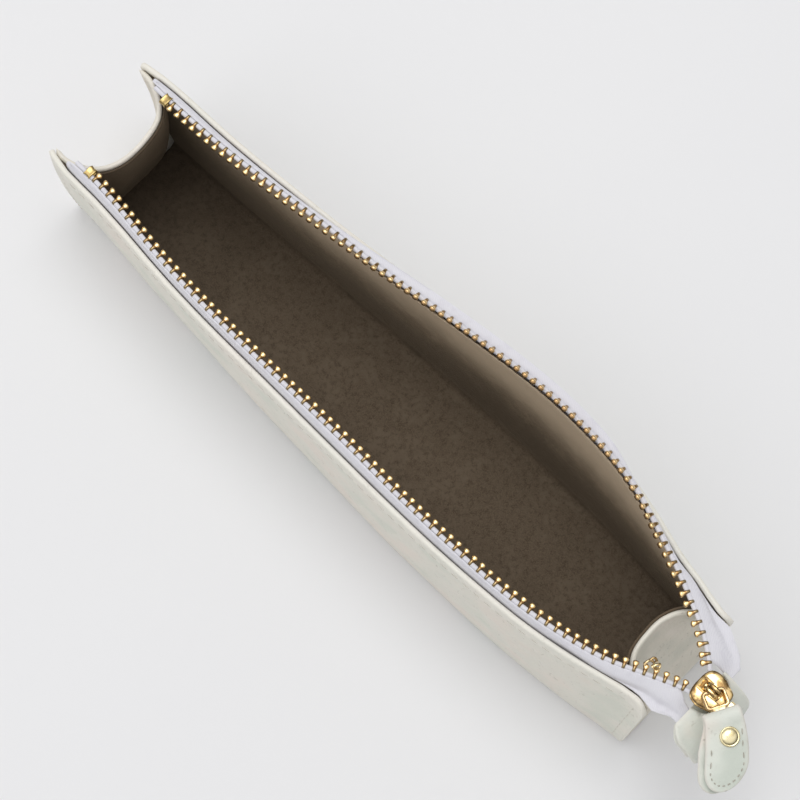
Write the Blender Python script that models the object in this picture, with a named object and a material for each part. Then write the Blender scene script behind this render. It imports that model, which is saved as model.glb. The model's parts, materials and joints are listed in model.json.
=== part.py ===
# Slim leather pen case with a gusset at each end and a metal zip along its whole top.
# Metres. +X along the case towards the slider's end, -Y the front wall, +Z up.
# The origin is the middle of the base's underside. The zip is fully open.

import math

import bmesh
import bpy
from mathutils import Matrix, Vector

# Sizes of the body
LEFT_END = -0.0942
RIGHT_END = 0.0946
WALL_TOP = 0.042
LEATHER = 0.0014
LINING = 0.0006
GAP = 0.0003
PANEL_CROWN = 0.0008
LINING_DROP = 0.002
LINING_END_INSET = 0.001
BASE_EDGE_ROUND = 0.0004

# Half widths from the centre plane to the leather's outer face
FRONT_LEFT_TOP = 0.0155
FRONT_RIGHT_TOP = 0.0130
FRONT_TOP_BULGE = 0.0059
FRONT_LEFT_FOOT = 0.0137
FRONT_RIGHT_FOOT = 0.0177
FRONT_FOOT_BULGE = 0.0058
BACK_LEFT_TOP = 0.0152
BACK_RIGHT_TOP = 0.0141
BACK_TOP_BULGE = 0.0102
BACK_LEFT_FOOT = 0.0165
BACK_RIGHT_FOOT = 0.0185
BACK_FOOT_BULGE = 0.0030

# Share of the length, share of the bulge
FRONT_TOP_SHARES = (
    (0.00, 0.00), (0.06, 0.06), (0.21, 0.36), (0.38, 0.76), (0.57, 0.98),
    (0.73, 0.97), (0.82, 0.80), (0.89, 0.42), (0.95, 0.06), (1.00, 0.00),
)
FRONT_FOOT_SHARES = (
    (0.00, 0.00), (0.10, 0.00), (0.22, 0.08), (0.38, 0.48), (0.60, 0.96),
    (0.73, 1.00), (0.86, 0.74), (0.95, 0.30), (1.00, 0.00),
)
BACK_TOP_SHARES = (
    (0.00, 0.00), (0.06, 0.10), (0.18, 0.19), (0.30, 0.39), (0.42, 0.62),
    (0.54, 0.85), (0.66, 1.00), (0.75, 0.94), (0.85, 0.56), (0.95, 0.08), (1.00, 0.00),
)
BACK_FOOT_SHARES = (
    (0.00, 0.00), (0.20, 0.25), (0.45, 0.80), (0.65, 1.00), (0.85, 0.60), (1.00, 0.00),
)
WALL_STATIONS = 26
WALL_RISES = 5
EDGE_STEPS = 4

# Zip tape and teeth
TAPE = 0.0005
TAPE_DEPTH = 0.009
TAPE_LEFT_INSET = 0.0037
TAPE_INTO_TAB = 0.0022
TAPE_FREE_FROM_END = 0.0286
TAPE_FREE_TO_END = 0.0146
TAPE_LOOSE_TO_END = 0.0026
TAPE_FREE_FALL = 0.0009
TAPE_LOOSE_STATIONS = 10
ROW_LEFT_INSET = 0.0120
ROW_PAST_BODY = 0.0018
ROW_TO_SLIDER = 0.0014
ROW_PROBE = 0.0003
ROW_TURN_FROM_END = 0.0266
FRONT_ROW_INSET = 0.0039
BACK_ROW_INSET = 0.0041
BACK_INSET_SHARES = (
    (0.00, 1.00), (0.10, 0.98), (0.22, 0.70), (0.40, 0.55), (0.55, 0.34),
    (0.66, 0.22), (0.77, 0.24), (0.84, 0.54), (0.90, 0.78), (1.00, 0.90),
)
BACK_ROW_TILT = math.radians(66)
BACK_TILT_SHARES = (
    (0.00, 0.00), (0.16, 0.05), (0.30, 0.35), (0.42, 0.72), (0.54, 0.98),
    (0.66, 1.00), (0.75, 0.95), (0.84, 0.68), (0.90, 0.32), (0.95, 0.06), (1.00, 0.00),
)
ROW_LIFT = 0.0022
TOOTH_PITCH = 0.0024
TOOTH_LONG = 0.00125
TOOTH_REACH = 0.0026
TOOTH_LEG = 0.0019
TOOTH_HEAD = 0.0015
TOOTH_CHAMFER = 0.00012
CORD_WIDE = 0.0012
CORD_HIGH = 0.0012
CORD_COVER = 0.0001
STOP_LONG = 0.0018
STOP_WALL = 0.0005
CORD_TAIL = 0.0026

# Gussets
GUSSET_LEATHER = 0.0011
GUSSET_TOP = 0.040
GUSSET_TOP_DEPTH = 0.0132
GUSSET_FOOT_DEPTH = 0.0064
GUSSET_SINK_SHARE = 0.75
GUSSET_TOP_POWER = 2.6
GUSSET_FOOT_POWER = 6.0
GUSSET_TIP_INSET = 0.0006
GUSSET_POINTS = 17
GUSSET_LEVELS = 7

# Fold axes of the walls, from the centre plane
FRONT_AXIS = 0.0107
BACK_AXIS = 0.0132

# Slider
SLIDER_LONG = 0.0084
SLIDER_Y = -0.0006
SLIDER_WIDE = 0.0096
SLIDER_TAIL_WIDE = 0.0062
SLIDER_PLATE = 0.0009
SLIDER_MOUTH = 0.0022
SLIDER_FLANGE = 0.0007
SLIDER_FLANGE_DEEP = 0.0006
SLIDER_WAIST_SHARE = 0.42
SLIDER_NOSE_ROUND = 0.0014
SLIDER_TAIL_ROUND = 0.0009
WEDGE_WIDE = 0.0016
WEDGE_LONG = 0.0030
WEDGE_INSET = 0.0004
WEDGE_WAIST_SHARE = 0.33
BRIDGE_LONG = 0.0046
BRIDGE_WIDE = 0.0015
BRIDGE_HIGH = 0.0027
BRIDGE_BAND = 0.0008
BRIDGE_FROM_FRONT = 0.0040
BRIDGE_POWER = 3.0
BRIDGE_STEPS = 12
BOTTOM_STOP_LONG = 0.0020
BOTTOM_STOP_WIDE = 0.0040
BOTTOM_STOP_HIGH = 0.0020
BOTTOM_STOP_ROUND = 0.0005
BOTTOM_STOP_TAPE_GAP = 0.0010

# Pull link and leather puller
PULL_YAW = math.radians(-28)
LINK_DROOP = math.radians(-9)
TAB_DROOP = math.radians(17)
LINK_PLATE = 0.0010
LINK_LONG = 0.0062
LINK_EYE_LONG = 0.0029
LINK_EYE_WIDE = 0.0041
LINK_RIM = 0.0008
LINK_NECK = 0.0030
CROSSBAR_WIDE = 0.0072
CROSSBAR_RADIUS = 0.0005
CROSSBAR_SIDES = 12
TAB_LONG = 0.0156
TAB_WIDE = 0.0104
TAB_SWAY = 0.0046
TAB_SWAY_POWER = 1.5
TAB_LEATHER = 0.0009
TAB_PINCH = 0.0032
TAB_BAR_GAP = 0.0003
TAB_SLOT = 0.0040
TAB_TIP_SHARE = 0.16
TAB_WAIST_SHARE = 0.5
TAB_TIP_STEPS = 6
TAB_PINCH_STEPS = 4
TAB_FOLD_STEPS = 8
RIVET_FROM_BAR = 0.0045
RIVET_CAP_RADIUS = 0.0022
RIVET_CAP_HIGH = 0.0007
RIVET_EDGE = 0.00025
RIVET_SHANK_RADIUS = 0.0010
RIVET_WASHER_RADIUS = 0.0018
RIVET_WASHER_HIGH = 0.0005
WASHER_EDGE = 0.00012
WASHER_PLAY = 0.0001
RIVET_SIDES = 24

# Leather tab folded over the joined tape ends
END_TAB_FROM_SLIDER = 0.0030
END_TAB_WIDE = 0.0210
END_TAB_Y = -0.0028
END_TAB_BEND = 0.0080
END_TAB_SWEEP = math.radians(84)
END_TAB_HANG = 0.0030
END_TAB_LEATHER = 0.0010
END_TAB_SIDE_GAP = 0.0006
END_TAB_BEND_STEPS = 8
END_TAB_FOLD_STEPS = 6

OVERRUN = 0.002
MITRE_LEAST = 0.5
FRONT_SIDE = -1
BACK_SIDE = 1
SHARP = math.radians(40)
ROUND_SHARP = math.radians(50)
TOOTH_SHARP = math.radians(25)

ROW_LEFT_END = LEFT_END + ROW_LEFT_INSET
ROW_RIGHT_END = RIGHT_END + ROW_PAST_BODY
ROW_TURN = RIGHT_END - ROW_TURN_FROM_END
SLIDER_FRONT = ROW_RIGHT_END + ROW_TO_SLIDER
END_TAB_START = SLIDER_FRONT + END_TAB_FROM_SLIDER
TAPE_LEFT_END = LEFT_END + TAPE_LEFT_INSET
TAPE_FREE_FROM = RIGHT_END - TAPE_FREE_FROM_END
TAPE_FREE_TO = RIGHT_END - TAPE_FREE_TO_END
TAPE_LOOSE_TO = RIGHT_END - TAPE_LOOSE_TO_END
TAPE_RIGHT_END = END_TAB_START + TAPE_INTO_TAB
SLIDER_UNDER = WALL_TOP + GAP
ROW_Z = SLIDER_UNDER + SLIDER_PLATE + SLIDER_MOUTH / 2
LENGTH = RIGHT_END - LEFT_END
FLOOR = LEATHER + GAP
WALL_STACK = LEATHER + GAP + TAPE + GAP + LINING
LINING_TOP = WALL_TOP - LINING_DROP
BAR_Z = ROW_Z + SLIDER_MOUTH / 2 + SLIDER_PLATE + (BRIDGE_HIGH - BRIDGE_BAND) / 2


def clear_scene():
    for item in list(bpy.data.objects):
        bpy.data.objects.remove(item, do_unlink=True)


def material(name, colour, roughness, metallic=0.0):
    made = bpy.data.materials.new(name)
    made.use_nodes = True
    shader = made.node_tree.nodes["Principled BSDF"]
    shader.inputs["Base Color"].default_value = (*colour, 1.0)
    shader.inputs["Roughness"].default_value = roughness
    shader.inputs["Metallic"].default_value = metallic
    return made


def grain_leather():
    return material("ivory leather", (0.72, 0.71, 0.68), 0.55)


def suede_lining():
    return material("taupe microsuede", (0.13, 0.11, 0.085), 0.95)


def woven_tape():
    return material("pale zip tape", (0.66, 0.65, 0.70), 0.85)


def gold_metal():
    return material("pale gold", (0.83, 0.66, 0.38), 0.28, 1.0)


def antique_metal():
    return material("antique brass", (0.52, 0.34, 0.16), 0.38, 1.0)


def lerp(low, high, share):
    return low + (high - low) * share


def ease(share):
    share = min(max(share, 0.0), 1.0)
    return share * share * (3 - 2 * share)


def through(shares, at):
    """Smooth curve through pairs of shares, with the slope of its neighbours at each pair."""
    last = len(shares) - 1
    k = 0
    while k < last - 1 and at > shares[k + 1][0]:
        k += 1
    slopes = []
    for i in (k, k + 1):
        before = shares[max(i - 1, 0)]
        after = shares[min(i + 1, last)]
        slopes.append((after[1] - before[1]) / (after[0] - before[0]))
    span = shares[k + 1][0] - shares[k][0]
    t = (at - shares[k][0]) / span
    start, end = shares[k][1], shares[k + 1][1]
    return (
        start * (1 + 2 * t) * (1 - t) ** 2
        + end * t * t * (3 - 2 * t)
        + span * slopes[0] * t * (1 - t) ** 2
        - span * slopes[1] * t * t * (1 - t)
    )


def along(x):
    return (x - LEFT_END) / LENGTH


def top_half(side, x):
    """Distance of the leather's outer face from the centre plane at its top edge."""
    share = min(max(along(x), 0.0), 1.0)
    if side == FRONT_SIDE:
        ends = lerp(FRONT_LEFT_TOP, FRONT_RIGHT_TOP, share)
        return ends + FRONT_TOP_BULGE * through(FRONT_TOP_SHARES, share)
    ends = lerp(BACK_LEFT_TOP, BACK_RIGHT_TOP, share)
    return ends + BACK_TOP_BULGE * through(BACK_TOP_SHARES, share)


def foot_half(side, x):
    """The same distance at the wall's foot."""
    share = min(max(along(x), 0.0), 1.0)
    if side == FRONT_SIDE:
        ends = lerp(FRONT_LEFT_FOOT, FRONT_RIGHT_FOOT, share)
        return ends + FRONT_FOOT_BULGE * through(FRONT_FOOT_SHARES, share)
    ends = lerp(BACK_LEFT_FOOT, BACK_RIGHT_FOOT, share)
    return ends + BACK_FOOT_BULGE * through(BACK_FOOT_SHARES, share)


def wall_half(side, x, z):
    """The same distance at any height, with a slight crown between foot and top."""
    share = min(max(z / WALL_TOP, 0.0), 1.0)
    straight = lerp(foot_half(side, x), top_half(side, x), share)
    return straight + PANEL_CROWN * math.sin(math.pi * share)


def row_half(side, x):
    """Distance of the middle of a tooth from the centre plane."""
    if side == FRONT_SIDE:
        open_row = top_half(side, x) - FRONT_ROW_INSET
    else:
        open_row = top_half(side, x) - BACK_ROW_INSET * through(BACK_INSET_SHARES, along(x))
    into_slider = (WEDGE_WIDE + TOOTH_REACH) / 2 + GAP + side * SLIDER_Y
    return lerp(open_row, into_slider, ease((x - ROW_TURN) / (SLIDER_FRONT - ROW_TURN)))


def row_tilt(side, x):
    """Angle by which the teeth stand up from lying flat."""
    if side == FRONT_SIDE:
        return 0.0
    return BACK_ROW_TILT * through(BACK_TILT_SHARES, min(along(x), 1.0))


def row_height(tilt):
    """Height of the middle of a tooth, which rises as the row stands up."""
    return ROW_Z + ROW_LIFT * math.sin(tilt)


def tab_height(x):
    """Height of the tape ends on their way into the hanging end tab."""
    over = min(max((x - END_TAB_START) / END_TAB_BEND, 0.0), 1.0)
    return WALL_TOP - TAPE_FREE_FALL - END_TAB_BEND * (1 - math.sqrt(1 - over * over))


def mesh_object(name, bm, finish, sharp=SHARP):
    bmesh.ops.recalc_face_normals(bm, faces=bm.faces)
    mesh = bpy.data.meshes.new(name)
    bm.to_mesh(mesh)
    bm.free()
    mesh.materials.append(finish)
    mesh.shade_smooth()
    mesh.set_sharp_from_angle(angle=sharp)
    made = bpy.data.objects.new(name, mesh)
    bpy.context.scene.collection.objects.link(made)
    return made


def loft(name, rings, finish, sharp=SHARP):
    """Closed skin over rings of equally many points, with a face on each end."""
    bm = bmesh.new()
    loops = [[bm.verts.new(point) for point in ring] for ring in rings]
    count = len(rings[0])
    for here, there in zip(loops, loops[1:]):
        for i in range(count):
            j = (i + 1) % count
            bm.faces.new((here[i], here[j], there[j], there[i]))
    bm.faces.new(loops[0])
    bm.faces.new(list(reversed(loops[-1])))
    return mesh_object(name, bm, finish, sharp)


def prism(name, outline, low, high, finish, place, sharp=SHARP):
    """A flat outline drawn out from low to high. place(u, v, w) gives the point in space."""
    bm = bmesh.new()
    face = bm.faces.new([bm.verts.new(place(u, v, low)) for u, v in outline])
    drawn = bmesh.ops.extrude_face_region(bm, geom=[face])
    moved = [item for item in drawn["geom"] if isinstance(item, bmesh.types.BMVert)]
    shift = Vector(place(0, 0, high)) - Vector(place(0, 0, low))
    bmesh.ops.translate(bm, verts=moved, vec=shift)
    return mesh_object(name, bm, finish, sharp)


def flat(u, v, w):
    return (u, v, w)


def upright(u, v, w):
    return (u, w, v)


def boolean(target, tool, operation):
    step = target.modifiers.new(tool.name, "BOOLEAN")
    step.object = tool
    step.operation = operation
    step.solver = "EXACT"
    tool.hide_render = True
    tool.display_type = "WIRE"


def pivot(name, place, rotation=None, carrier=None):
    """Empty on a joint's axis."""
    made = bpy.data.objects.new(name, None)
    bpy.context.scene.collection.objects.link(made)
    made.parent = carrier
    made.location = place
    if rotation is not None:
        made.rotation_euler = rotation
    bpy.context.view_layer.update()
    return made


def hang_on(carrier, items):
    """Parents pieces that are drawn in world places to a joint's empty."""
    for item in items:
        item.parent = carrier
        item.matrix_parent_inverse = carrier.matrix_world.inverted()


def stations(low, high, count):
    return [lerp(low, high, i / (count - 1)) for i in range(count)]


def strip_ring(points, thickness, make):
    """Ring round a strip whose middle line is given in a plane."""
    upper, lower = [], []
    last = len(points) - 1
    for i, (u, v) in enumerate(points):
        before = Vector(points[max(i - 1, 0)])
        after = Vector(points[min(i + 1, last)])
        run = (after - before).normalized()
        if 0 < i < last:
            one = (Vector(points[i]) - before).normalized()
            mitre = 1 / max(run.dot(one), MITRE_LEAST)
        else:
            mitre = 1.0
        shift = Vector((-run.y, run.x)) * (thickness * mitre / 2)
        upper.append(make(u + shift.x, v + shift.y))
        lower.append(make(u - shift.x, v - shift.y))
    return upper + lower[::-1]


def panel(side, name):
    """Leather wall from its foot to its turned top edge."""
    rings = []
    for x in stations(LEFT_END, RIGHT_END, WALL_STATIONS):
        shoulder = WALL_TOP - LEATHER / 2
        outer = [(0.0, z) for z in stations(FLOOR, shoulder, WALL_RISES)]
        edge = []
        for i in range(1, EDGE_STEPS):
            turn = math.pi * i / EDGE_STEPS
            edge.append((LEATHER / 2 * (1 - math.cos(turn)), shoulder + LEATHER / 2 * math.sin(turn)))
        inner = [(LEATHER, z) for z in stations(shoulder, FLOOR, WALL_RISES)]
        rings.append(
            [(x, side * (wall_half(side, x, z) - depth), z) for depth, z in outer + edge + inner]
        )
    return loft(name, rings, grain_leather())


def wall_lining(side, name):
    """Lining of a wall. The zip tape fits between it and the leather."""
    rings = []
    low, high = LEFT_END + LINING_END_INSET, RIGHT_END - LINING_END_INSET
    for x in stations(low, high, WALL_STATIONS):
        ring = []
        for depth, heights in (
            (WALL_STACK - LINING, stations(FLOOR, LINING_TOP, WALL_RISES)),
            (WALL_STACK, stations(LINING_TOP, FLOOR, WALL_RISES)),
        ):
            ring += [(x, side * (wall_half(side, x, z) - depth), z) for z in heights]
        rings.append(ring)
    return loft(name, rings, suede_lining())


def base_panel():
    """Base of the leather body, as wide as the walls' feet."""
    xs = stations(LEFT_END, RIGHT_END, WALL_STATIONS)
    levels = (
        (0.0, BASE_EDGE_ROUND),
        (BASE_EDGE_ROUND, 0.0),
        (LEATHER, 0.0),
    )
    rings = []
    for z, inset in levels:
        front = [(x, -(foot_half(FRONT_SIDE, x) - inset), z) for x in xs]
        back = [(x, foot_half(BACK_SIDE, x) - inset, z) for x in reversed(xs)]
        rings.append(front + back)
    return loft("base_panel", rings, grain_leather())


def base_lining():
    """Floor of the inside, between the wall linings and the gussets."""
    left = LEFT_END + GUSSET_TIP_INSET + GUSSET_FOOT_DEPTH + GAP + GAP
    right = RIGHT_END - GUSSET_TIP_INSET - GUSSET_FOOT_DEPTH - GAP - GAP
    xs = stations(left, right, WALL_STATIONS)
    inset = WALL_STACK + GAP + GAP
    rings = []
    for z in (FLOOR, FLOOR + LINING):
        front = [(x, -(wall_half(FRONT_SIDE, x, z) - inset), z) for x in xs]
        back = [(x, wall_half(BACK_SIDE, x, z) - inset, z) for x in reversed(xs)]
        rings.append(front + back)
    return loft("base_lining", rings, suede_lining())


def gusset_line(end, z, inward):
    """Plan line of a gusset at one height, moved inward from its case side."""
    share = (z - FLOOR) / (GUSSET_TOP - FLOOR)
    fall = share ** GUSSET_SINK_SHARE
    depth = lerp(GUSSET_FOOT_DEPTH, GUSSET_TOP_DEPTH, fall)
    power = lerp(GUSSET_FOOT_POWER, GUSSET_TOP_POWER, fall)
    tip = (LEFT_END if end < 0 else RIGHT_END) - end * GUSSET_TIP_INSET
    bend = tip - end * depth
    room = WALL_STACK + GAP + inward
    places = (tip, (tip + bend) / 2, bend)
    front = min(wall_half(FRONT_SIDE, x, z) for x in places) - room
    back = min(wall_half(BACK_SIDE, x, z) for x in places) - room
    points = []
    for i in range(GUSSET_POINTS):
        turn = math.pi * (i / (GUSSET_POINTS - 1) - 0.5)
        across = math.sin(turn)
        half = front if across < 0 else back
        reach = 1 - abs(across) ** power
        points.append((tip - end * (depth - inward) * reach, across * half))
    return points


def gusset(end, name, depth_in, thickness, top, finish):
    """Strip that joins the two walls at one end and folds into the case."""
    rings = []
    for z in stations(FLOOR, top, GUSSET_LEVELS):
        line = gusset_line(end, z, depth_in)
        rings.append(strip_ring(line, thickness, lambda u, v: (u, v, z)))
    return loft(name, rings, finish)


def tape(side, name):
    """Zip tape: sewn in between leather and lining, free beyond the walls' right part."""
    rings = []
    pocket_in = LEATHER + GAP + TAPE / 2
    row_edge = TOOTH_REACH / 2 + GAP + TAPE / 2
    sewn = stations(TAPE_LEFT_END, TAPE_LOOSE_TO, WALL_STATIONS)
    loose_part = stations(TAPE_LOOSE_TO, TAPE_RIGHT_END, TAPE_LOOSE_STATIONS)
    for x in sewn + loose_part[1:]:
        free = ease((x - TAPE_FREE_FROM) / (TAPE_FREE_TO - TAPE_FREE_FROM))
        outer_z = lerp(WALL_TOP - TAPE_DEPTH, WALL_TOP - TAPE_FREE_FALL, free)
        loose = ease((x - TAPE_FREE_TO) / (TAPE_LOOSE_TO - TAPE_FREE_TO))
        shoulder_z = lerp(WALL_TOP + TAPE, (outer_z + ROW_Z) / 2, loose)
        low = wall_half(side, x, outer_z) - pocket_in
        shoulder = wall_half(side, x, WALL_TOP) - pocket_in
        tilt = row_tilt(side, x)
        slope = (row_half(side, x + TAPE) - row_half(side, x)) / TAPE
        inner = row_half(side, x) + row_edge * math.cos(tilt) * math.hypot(1, slope)
        inner_z = row_height(tilt) - row_edge * math.sin(tilt)
        if x > SLIDER_FRONT - GAP:
            inner = side * SLIDER_Y + SLIDER_WIDE / 2 + GAP + TAPE
            into_tab = ease((x - SLIDER_FRONT) / (END_TAB_START - SLIDER_FRONT))
            outer_z = tab_height(x)
            inner_z = lerp(inner_z, outer_z, into_tab)
            shoulder_z = (outer_z + inner_z) / 2
        shoulder = lerp(shoulder, (low + inner) / 2, loose)
        line = [(side * low, outer_z), (side * shoulder, shoulder_z), (side * inner, inner_z)]
        rings.append(strip_ring(line, TAPE, lambda u, v: (x, u, v)))
    return loft(name, rings, woven_tape())


def row_run(side, x):
    """Direction of the row in plan."""
    rise = side * (row_half(side, x + ROW_PROBE) - row_half(side, x))
    return Vector((ROW_PROBE, rise)).normalized()


def row_frames(side):
    """Places and directions of the teeth, a whole number of pitches from end to end."""
    run_length = 0.0
    x = ROW_LEFT_END
    while x < ROW_RIGHT_END:
        run_length += ROW_PROBE / row_run(side, x).x
        x += ROW_PROBE
    teeth = max(round(run_length / TOOTH_PITCH), 1)
    frames = []
    x = ROW_LEFT_END
    for i in range(teeth + 1):
        here = Vector((x, side * row_half(side, x)))
        run = row_run(side, x)
        frames.append((here, run, row_tilt(side, x)))
        x = min(x + run_length / teeth * run.x, ROW_RIGHT_END)
    return frames


def row_section(side, frame, reach_in, reach_out, high_in, high_out, shift):
    """Four corners of a section across the row."""
    here, run, tilt = frame
    flat_in = Vector((run.y, -run.x, 0.0)) * side
    up = Vector((0.0, 0.0, 1.0))
    to_middle = flat_in * math.cos(tilt) + up * math.sin(tilt)
    over = up * math.cos(tilt) - flat_in * math.sin(tilt)
    ring = []
    for reach, high in (
        (-reach_out, high_out), (reach_in, high_in), (reach_in, -high_in), (-reach_out, -high_out),
    ):
        slip = shift if reach < 0 else shift - math.copysign(TOOTH_CHAMFER, shift)
        centre = Vector((here.x, here.y, row_height(tilt))) + Vector((run.x, run.y, 0.0)) * slip
        ring.append(centre + to_middle * reach + over * (high / 2))
    return ring


def tooth_row(side, name):
    """Cord with a metal tooth clamped on it at each pitch, in one skin."""
    frames = row_frames(side)
    out = TOOTH_REACH / 2
    cord = (CORD_COVER + CORD_WIDE - out, out - CORD_COVER, CORD_HIGH, CORD_HIGH)
    tooth = (TOOTH_REACH / 2, out, TOOTH_HEAD, TOOTH_LEG)
    rings = []
    rings.append(row_section(side, frames[0], *cord, -CORD_TAIL))
    for frame in frames:
        rings.append(row_section(side, frame, *cord, -TOOTH_LONG / 2))
        rings.append(row_section(side, frame, *tooth, -TOOTH_LONG / 2))
        rings.append(row_section(side, frame, *tooth, TOOTH_LONG / 2))
        rings.append(row_section(side, frame, *cord, TOOTH_LONG / 2))
    return loft(name, rings, antique_metal(), TOOTH_SHARP)


def top_stop(side, name):
    """Metal clip clamped on the cord before the first tooth."""
    here, run, tilt = row_frames(side)[0]
    out = TOOTH_REACH / 2
    slot = CORD_HIGH / 2 + GAP
    high = slot + STOP_WALL
    back_in = CORD_COVER + CORD_WIDE - out + GAP
    outline = (
        (-out, high), (back_in + STOP_WALL, high), (back_in + STOP_WALL, -high), (-out, -high),
        (-out, -slot), (back_in, -slot), (back_in, slot), (-out, slot),
    )
    end = here.x - TOOTH_LONG / 2 - GAP

    def place(u, v, w):
        return (w, here.y - side * u, ROW_Z + v)

    return prism(name, outline, end - STOP_LONG, end, gold_metal(), place)


def bottom_stop():
    """Metal bar that holds both tape edges together behind the slider."""
    low = SLIDER_FRONT + SLIDER_LONG + GAP
    half = BOTTOM_STOP_WIDE / 2
    round_off = BOTTOM_STOP_ROUND
    section = (
        (-half, -round_off), (-half + round_off, -BOTTOM_STOP_HIGH / 2),
        (half - round_off, -BOTTOM_STOP_HIGH / 2), (half, -round_off),
        (half, round_off), (half - round_off, BOTTOM_STOP_HIGH / 2),
        (-half + round_off, BOTTOM_STOP_HIGH / 2), (-half, round_off),
    )

    def place(u, v, w):
        return (w, SLIDER_Y + u, ROW_Z - BOTTOM_STOP_TAPE_GAP + v)

    return prism("bottom_stop", section, low, low + BOTTOM_STOP_LONG, gold_metal(), place)


def round_corner(corner, before, after, radius, steps=4):
    """Arc that rounds one corner of an outline."""
    corner, before, after = Vector(corner), Vector(before), Vector(after)
    back = (before - corner).normalized()
    ahead = (after - corner).normalized()
    half = math.acos(max(-1.0, min(1.0, back.dot(ahead)))) / 2
    cut = radius / math.tan(half)
    centre = corner + (back + ahead).normalized() * (radius / math.sin(half))
    start = corner + back * cut - centre
    end = corner + ahead * cut - centre
    turn = start.angle_signed(end)
    points = []
    for i in range(steps + 1):
        points.append(centre + Matrix.Rotation(-turn * i / steps, 2) @ start)
    return [(point.x, point.y) for point in points]


def rounded(corners):
    """Outline from corners with their radii."""
    outline = []
    for i, (point, radius) in enumerate(corners):
        before = corners[i - 1][0]
        after = corners[(i + 1) % len(corners)][0]
        if radius > 0:
            outline += round_corner(point, before, after, radius)
        else:
            outline.append(point)
    return outline


def slider_outline():
    """Shield shape of the slider's plates: wide over the two mouths, narrow at the tail."""
    front, tail = SLIDER_FRONT, SLIDER_FRONT + SLIDER_LONG
    waist = lerp(front, tail, SLIDER_WAIST_SHARE)
    wide, narrow = SLIDER_WIDE / 2, SLIDER_TAIL_WIDE / 2
    corners = (
        ((front, -wide), SLIDER_NOSE_ROUND), ((waist, -wide), 0.0),
        ((tail, -narrow), SLIDER_TAIL_ROUND), ((tail, narrow), SLIDER_TAIL_ROUND),
        ((waist, wide), 0.0), ((front, wide), SLIDER_NOSE_ROUND),
    )
    return [(x, y + SLIDER_Y) for x, y in rounded(corners)]


def slider_flange(side, low, high, name):
    """Rim along one side of a plate that keeps the teeth in."""
    front, tail = SLIDER_FRONT + SLIDER_NOSE_ROUND, SLIDER_FRONT + SLIDER_LONG - SLIDER_TAIL_ROUND
    waist = lerp(SLIDER_FRONT, SLIDER_FRONT + SLIDER_LONG, SLIDER_WAIST_SHARE)
    wide, narrow = SLIDER_WIDE / 2, SLIDER_TAIL_WIDE / 2
    tail_share = (tail - waist) / (SLIDER_FRONT + SLIDER_LONG - waist)
    at_tail = lerp(wide, narrow, tail_share)
    outer = [(front, wide), (waist, wide), (tail, at_tail)]
    inner = [(x, y - SLIDER_FLANGE) for x, y in reversed(outer)]
    outline = [(x, SLIDER_Y + side * y) for x, y in outer + inner]
    return prism(name, outline, low, high, antique_metal(), flat)


def bridge():
    """Arched band on the top plate that the pull link hangs on."""
    middle = SLIDER_FRONT + BRIDGE_FROM_FRONT
    base = ROW_Z + SLIDER_MOUTH / 2 + SLIDER_PLATE / 2
    sunk = SLIDER_PLATE / 2

    def arch(half, high):
        points = []
        for i in range(BRIDGE_STEPS + 1):
            turn = math.pi * i / BRIDGE_STEPS
            across = math.copysign(abs(math.cos(turn)) ** (2 / BRIDGE_POWER), math.cos(turn))
            rise = high * math.sin(turn) ** (2 / BRIDGE_POWER)
            points.append((middle + half * across, base + sunk + rise))
        return points

    outer = arch(BRIDGE_LONG / 2, BRIDGE_HIGH)
    inner = arch(BRIDGE_LONG / 2 - BRIDGE_BAND, BRIDGE_HIGH - BRIDGE_BAND)
    outline = [(outer[0][0], base)] + outer + [(outer[-1][0], base)]
    outline += [(inner[-1][0], base)] + inner[::-1] + [(inner[0][0], base)]
    half = BRIDGE_WIDE / 2
    return prism("bridge", outline, SLIDER_Y - half, SLIDER_Y + half, gold_metal(), upright)


def slider():
    """Two plates joined by a wedge between the mouths, with flanges and the bridge."""
    low = SLIDER_UNDER
    inside_low = low + SLIDER_PLATE
    inside_high = inside_low + SLIDER_MOUTH
    high = inside_high + SLIDER_PLATE
    outline = slider_outline()
    body = prism("slider", outline, low, inside_low, gold_metal(), flat)
    boolean(body, prism("top_plate", outline, inside_high, high, gold_metal(), flat), "UNION")
    nose = SLIDER_FRONT + WEDGE_INSET
    waist = nose + WEDGE_LONG * WEDGE_WAIST_SHARE
    wedge = (
        (nose, SLIDER_Y), (waist, SLIDER_Y - WEDGE_WIDE / 2),
        (nose + WEDGE_LONG, SLIDER_Y), (waist, SLIDER_Y + WEDGE_WIDE / 2),
    )
    post = prism("wedge", wedge, low + SLIDER_PLATE / 2, high - SLIDER_PLATE / 2, gold_metal(), flat)
    boolean(body, post, "UNION")
    for side, hand in ((FRONT_SIDE, "front"), (BACK_SIDE, "back")):
        for start, end, level in (
            (low + SLIDER_PLATE / 2, inside_low + SLIDER_FLANGE_DEEP, "low"),
            (inside_high - SLIDER_FLANGE_DEEP, high - SLIDER_PLATE / 2, "high"),
        ):
            boolean(body, slider_flange(side, start, end, f"{hand}_{level}_flange"), "UNION")
    boolean(body, bridge(), "UNION")
    return body


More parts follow.
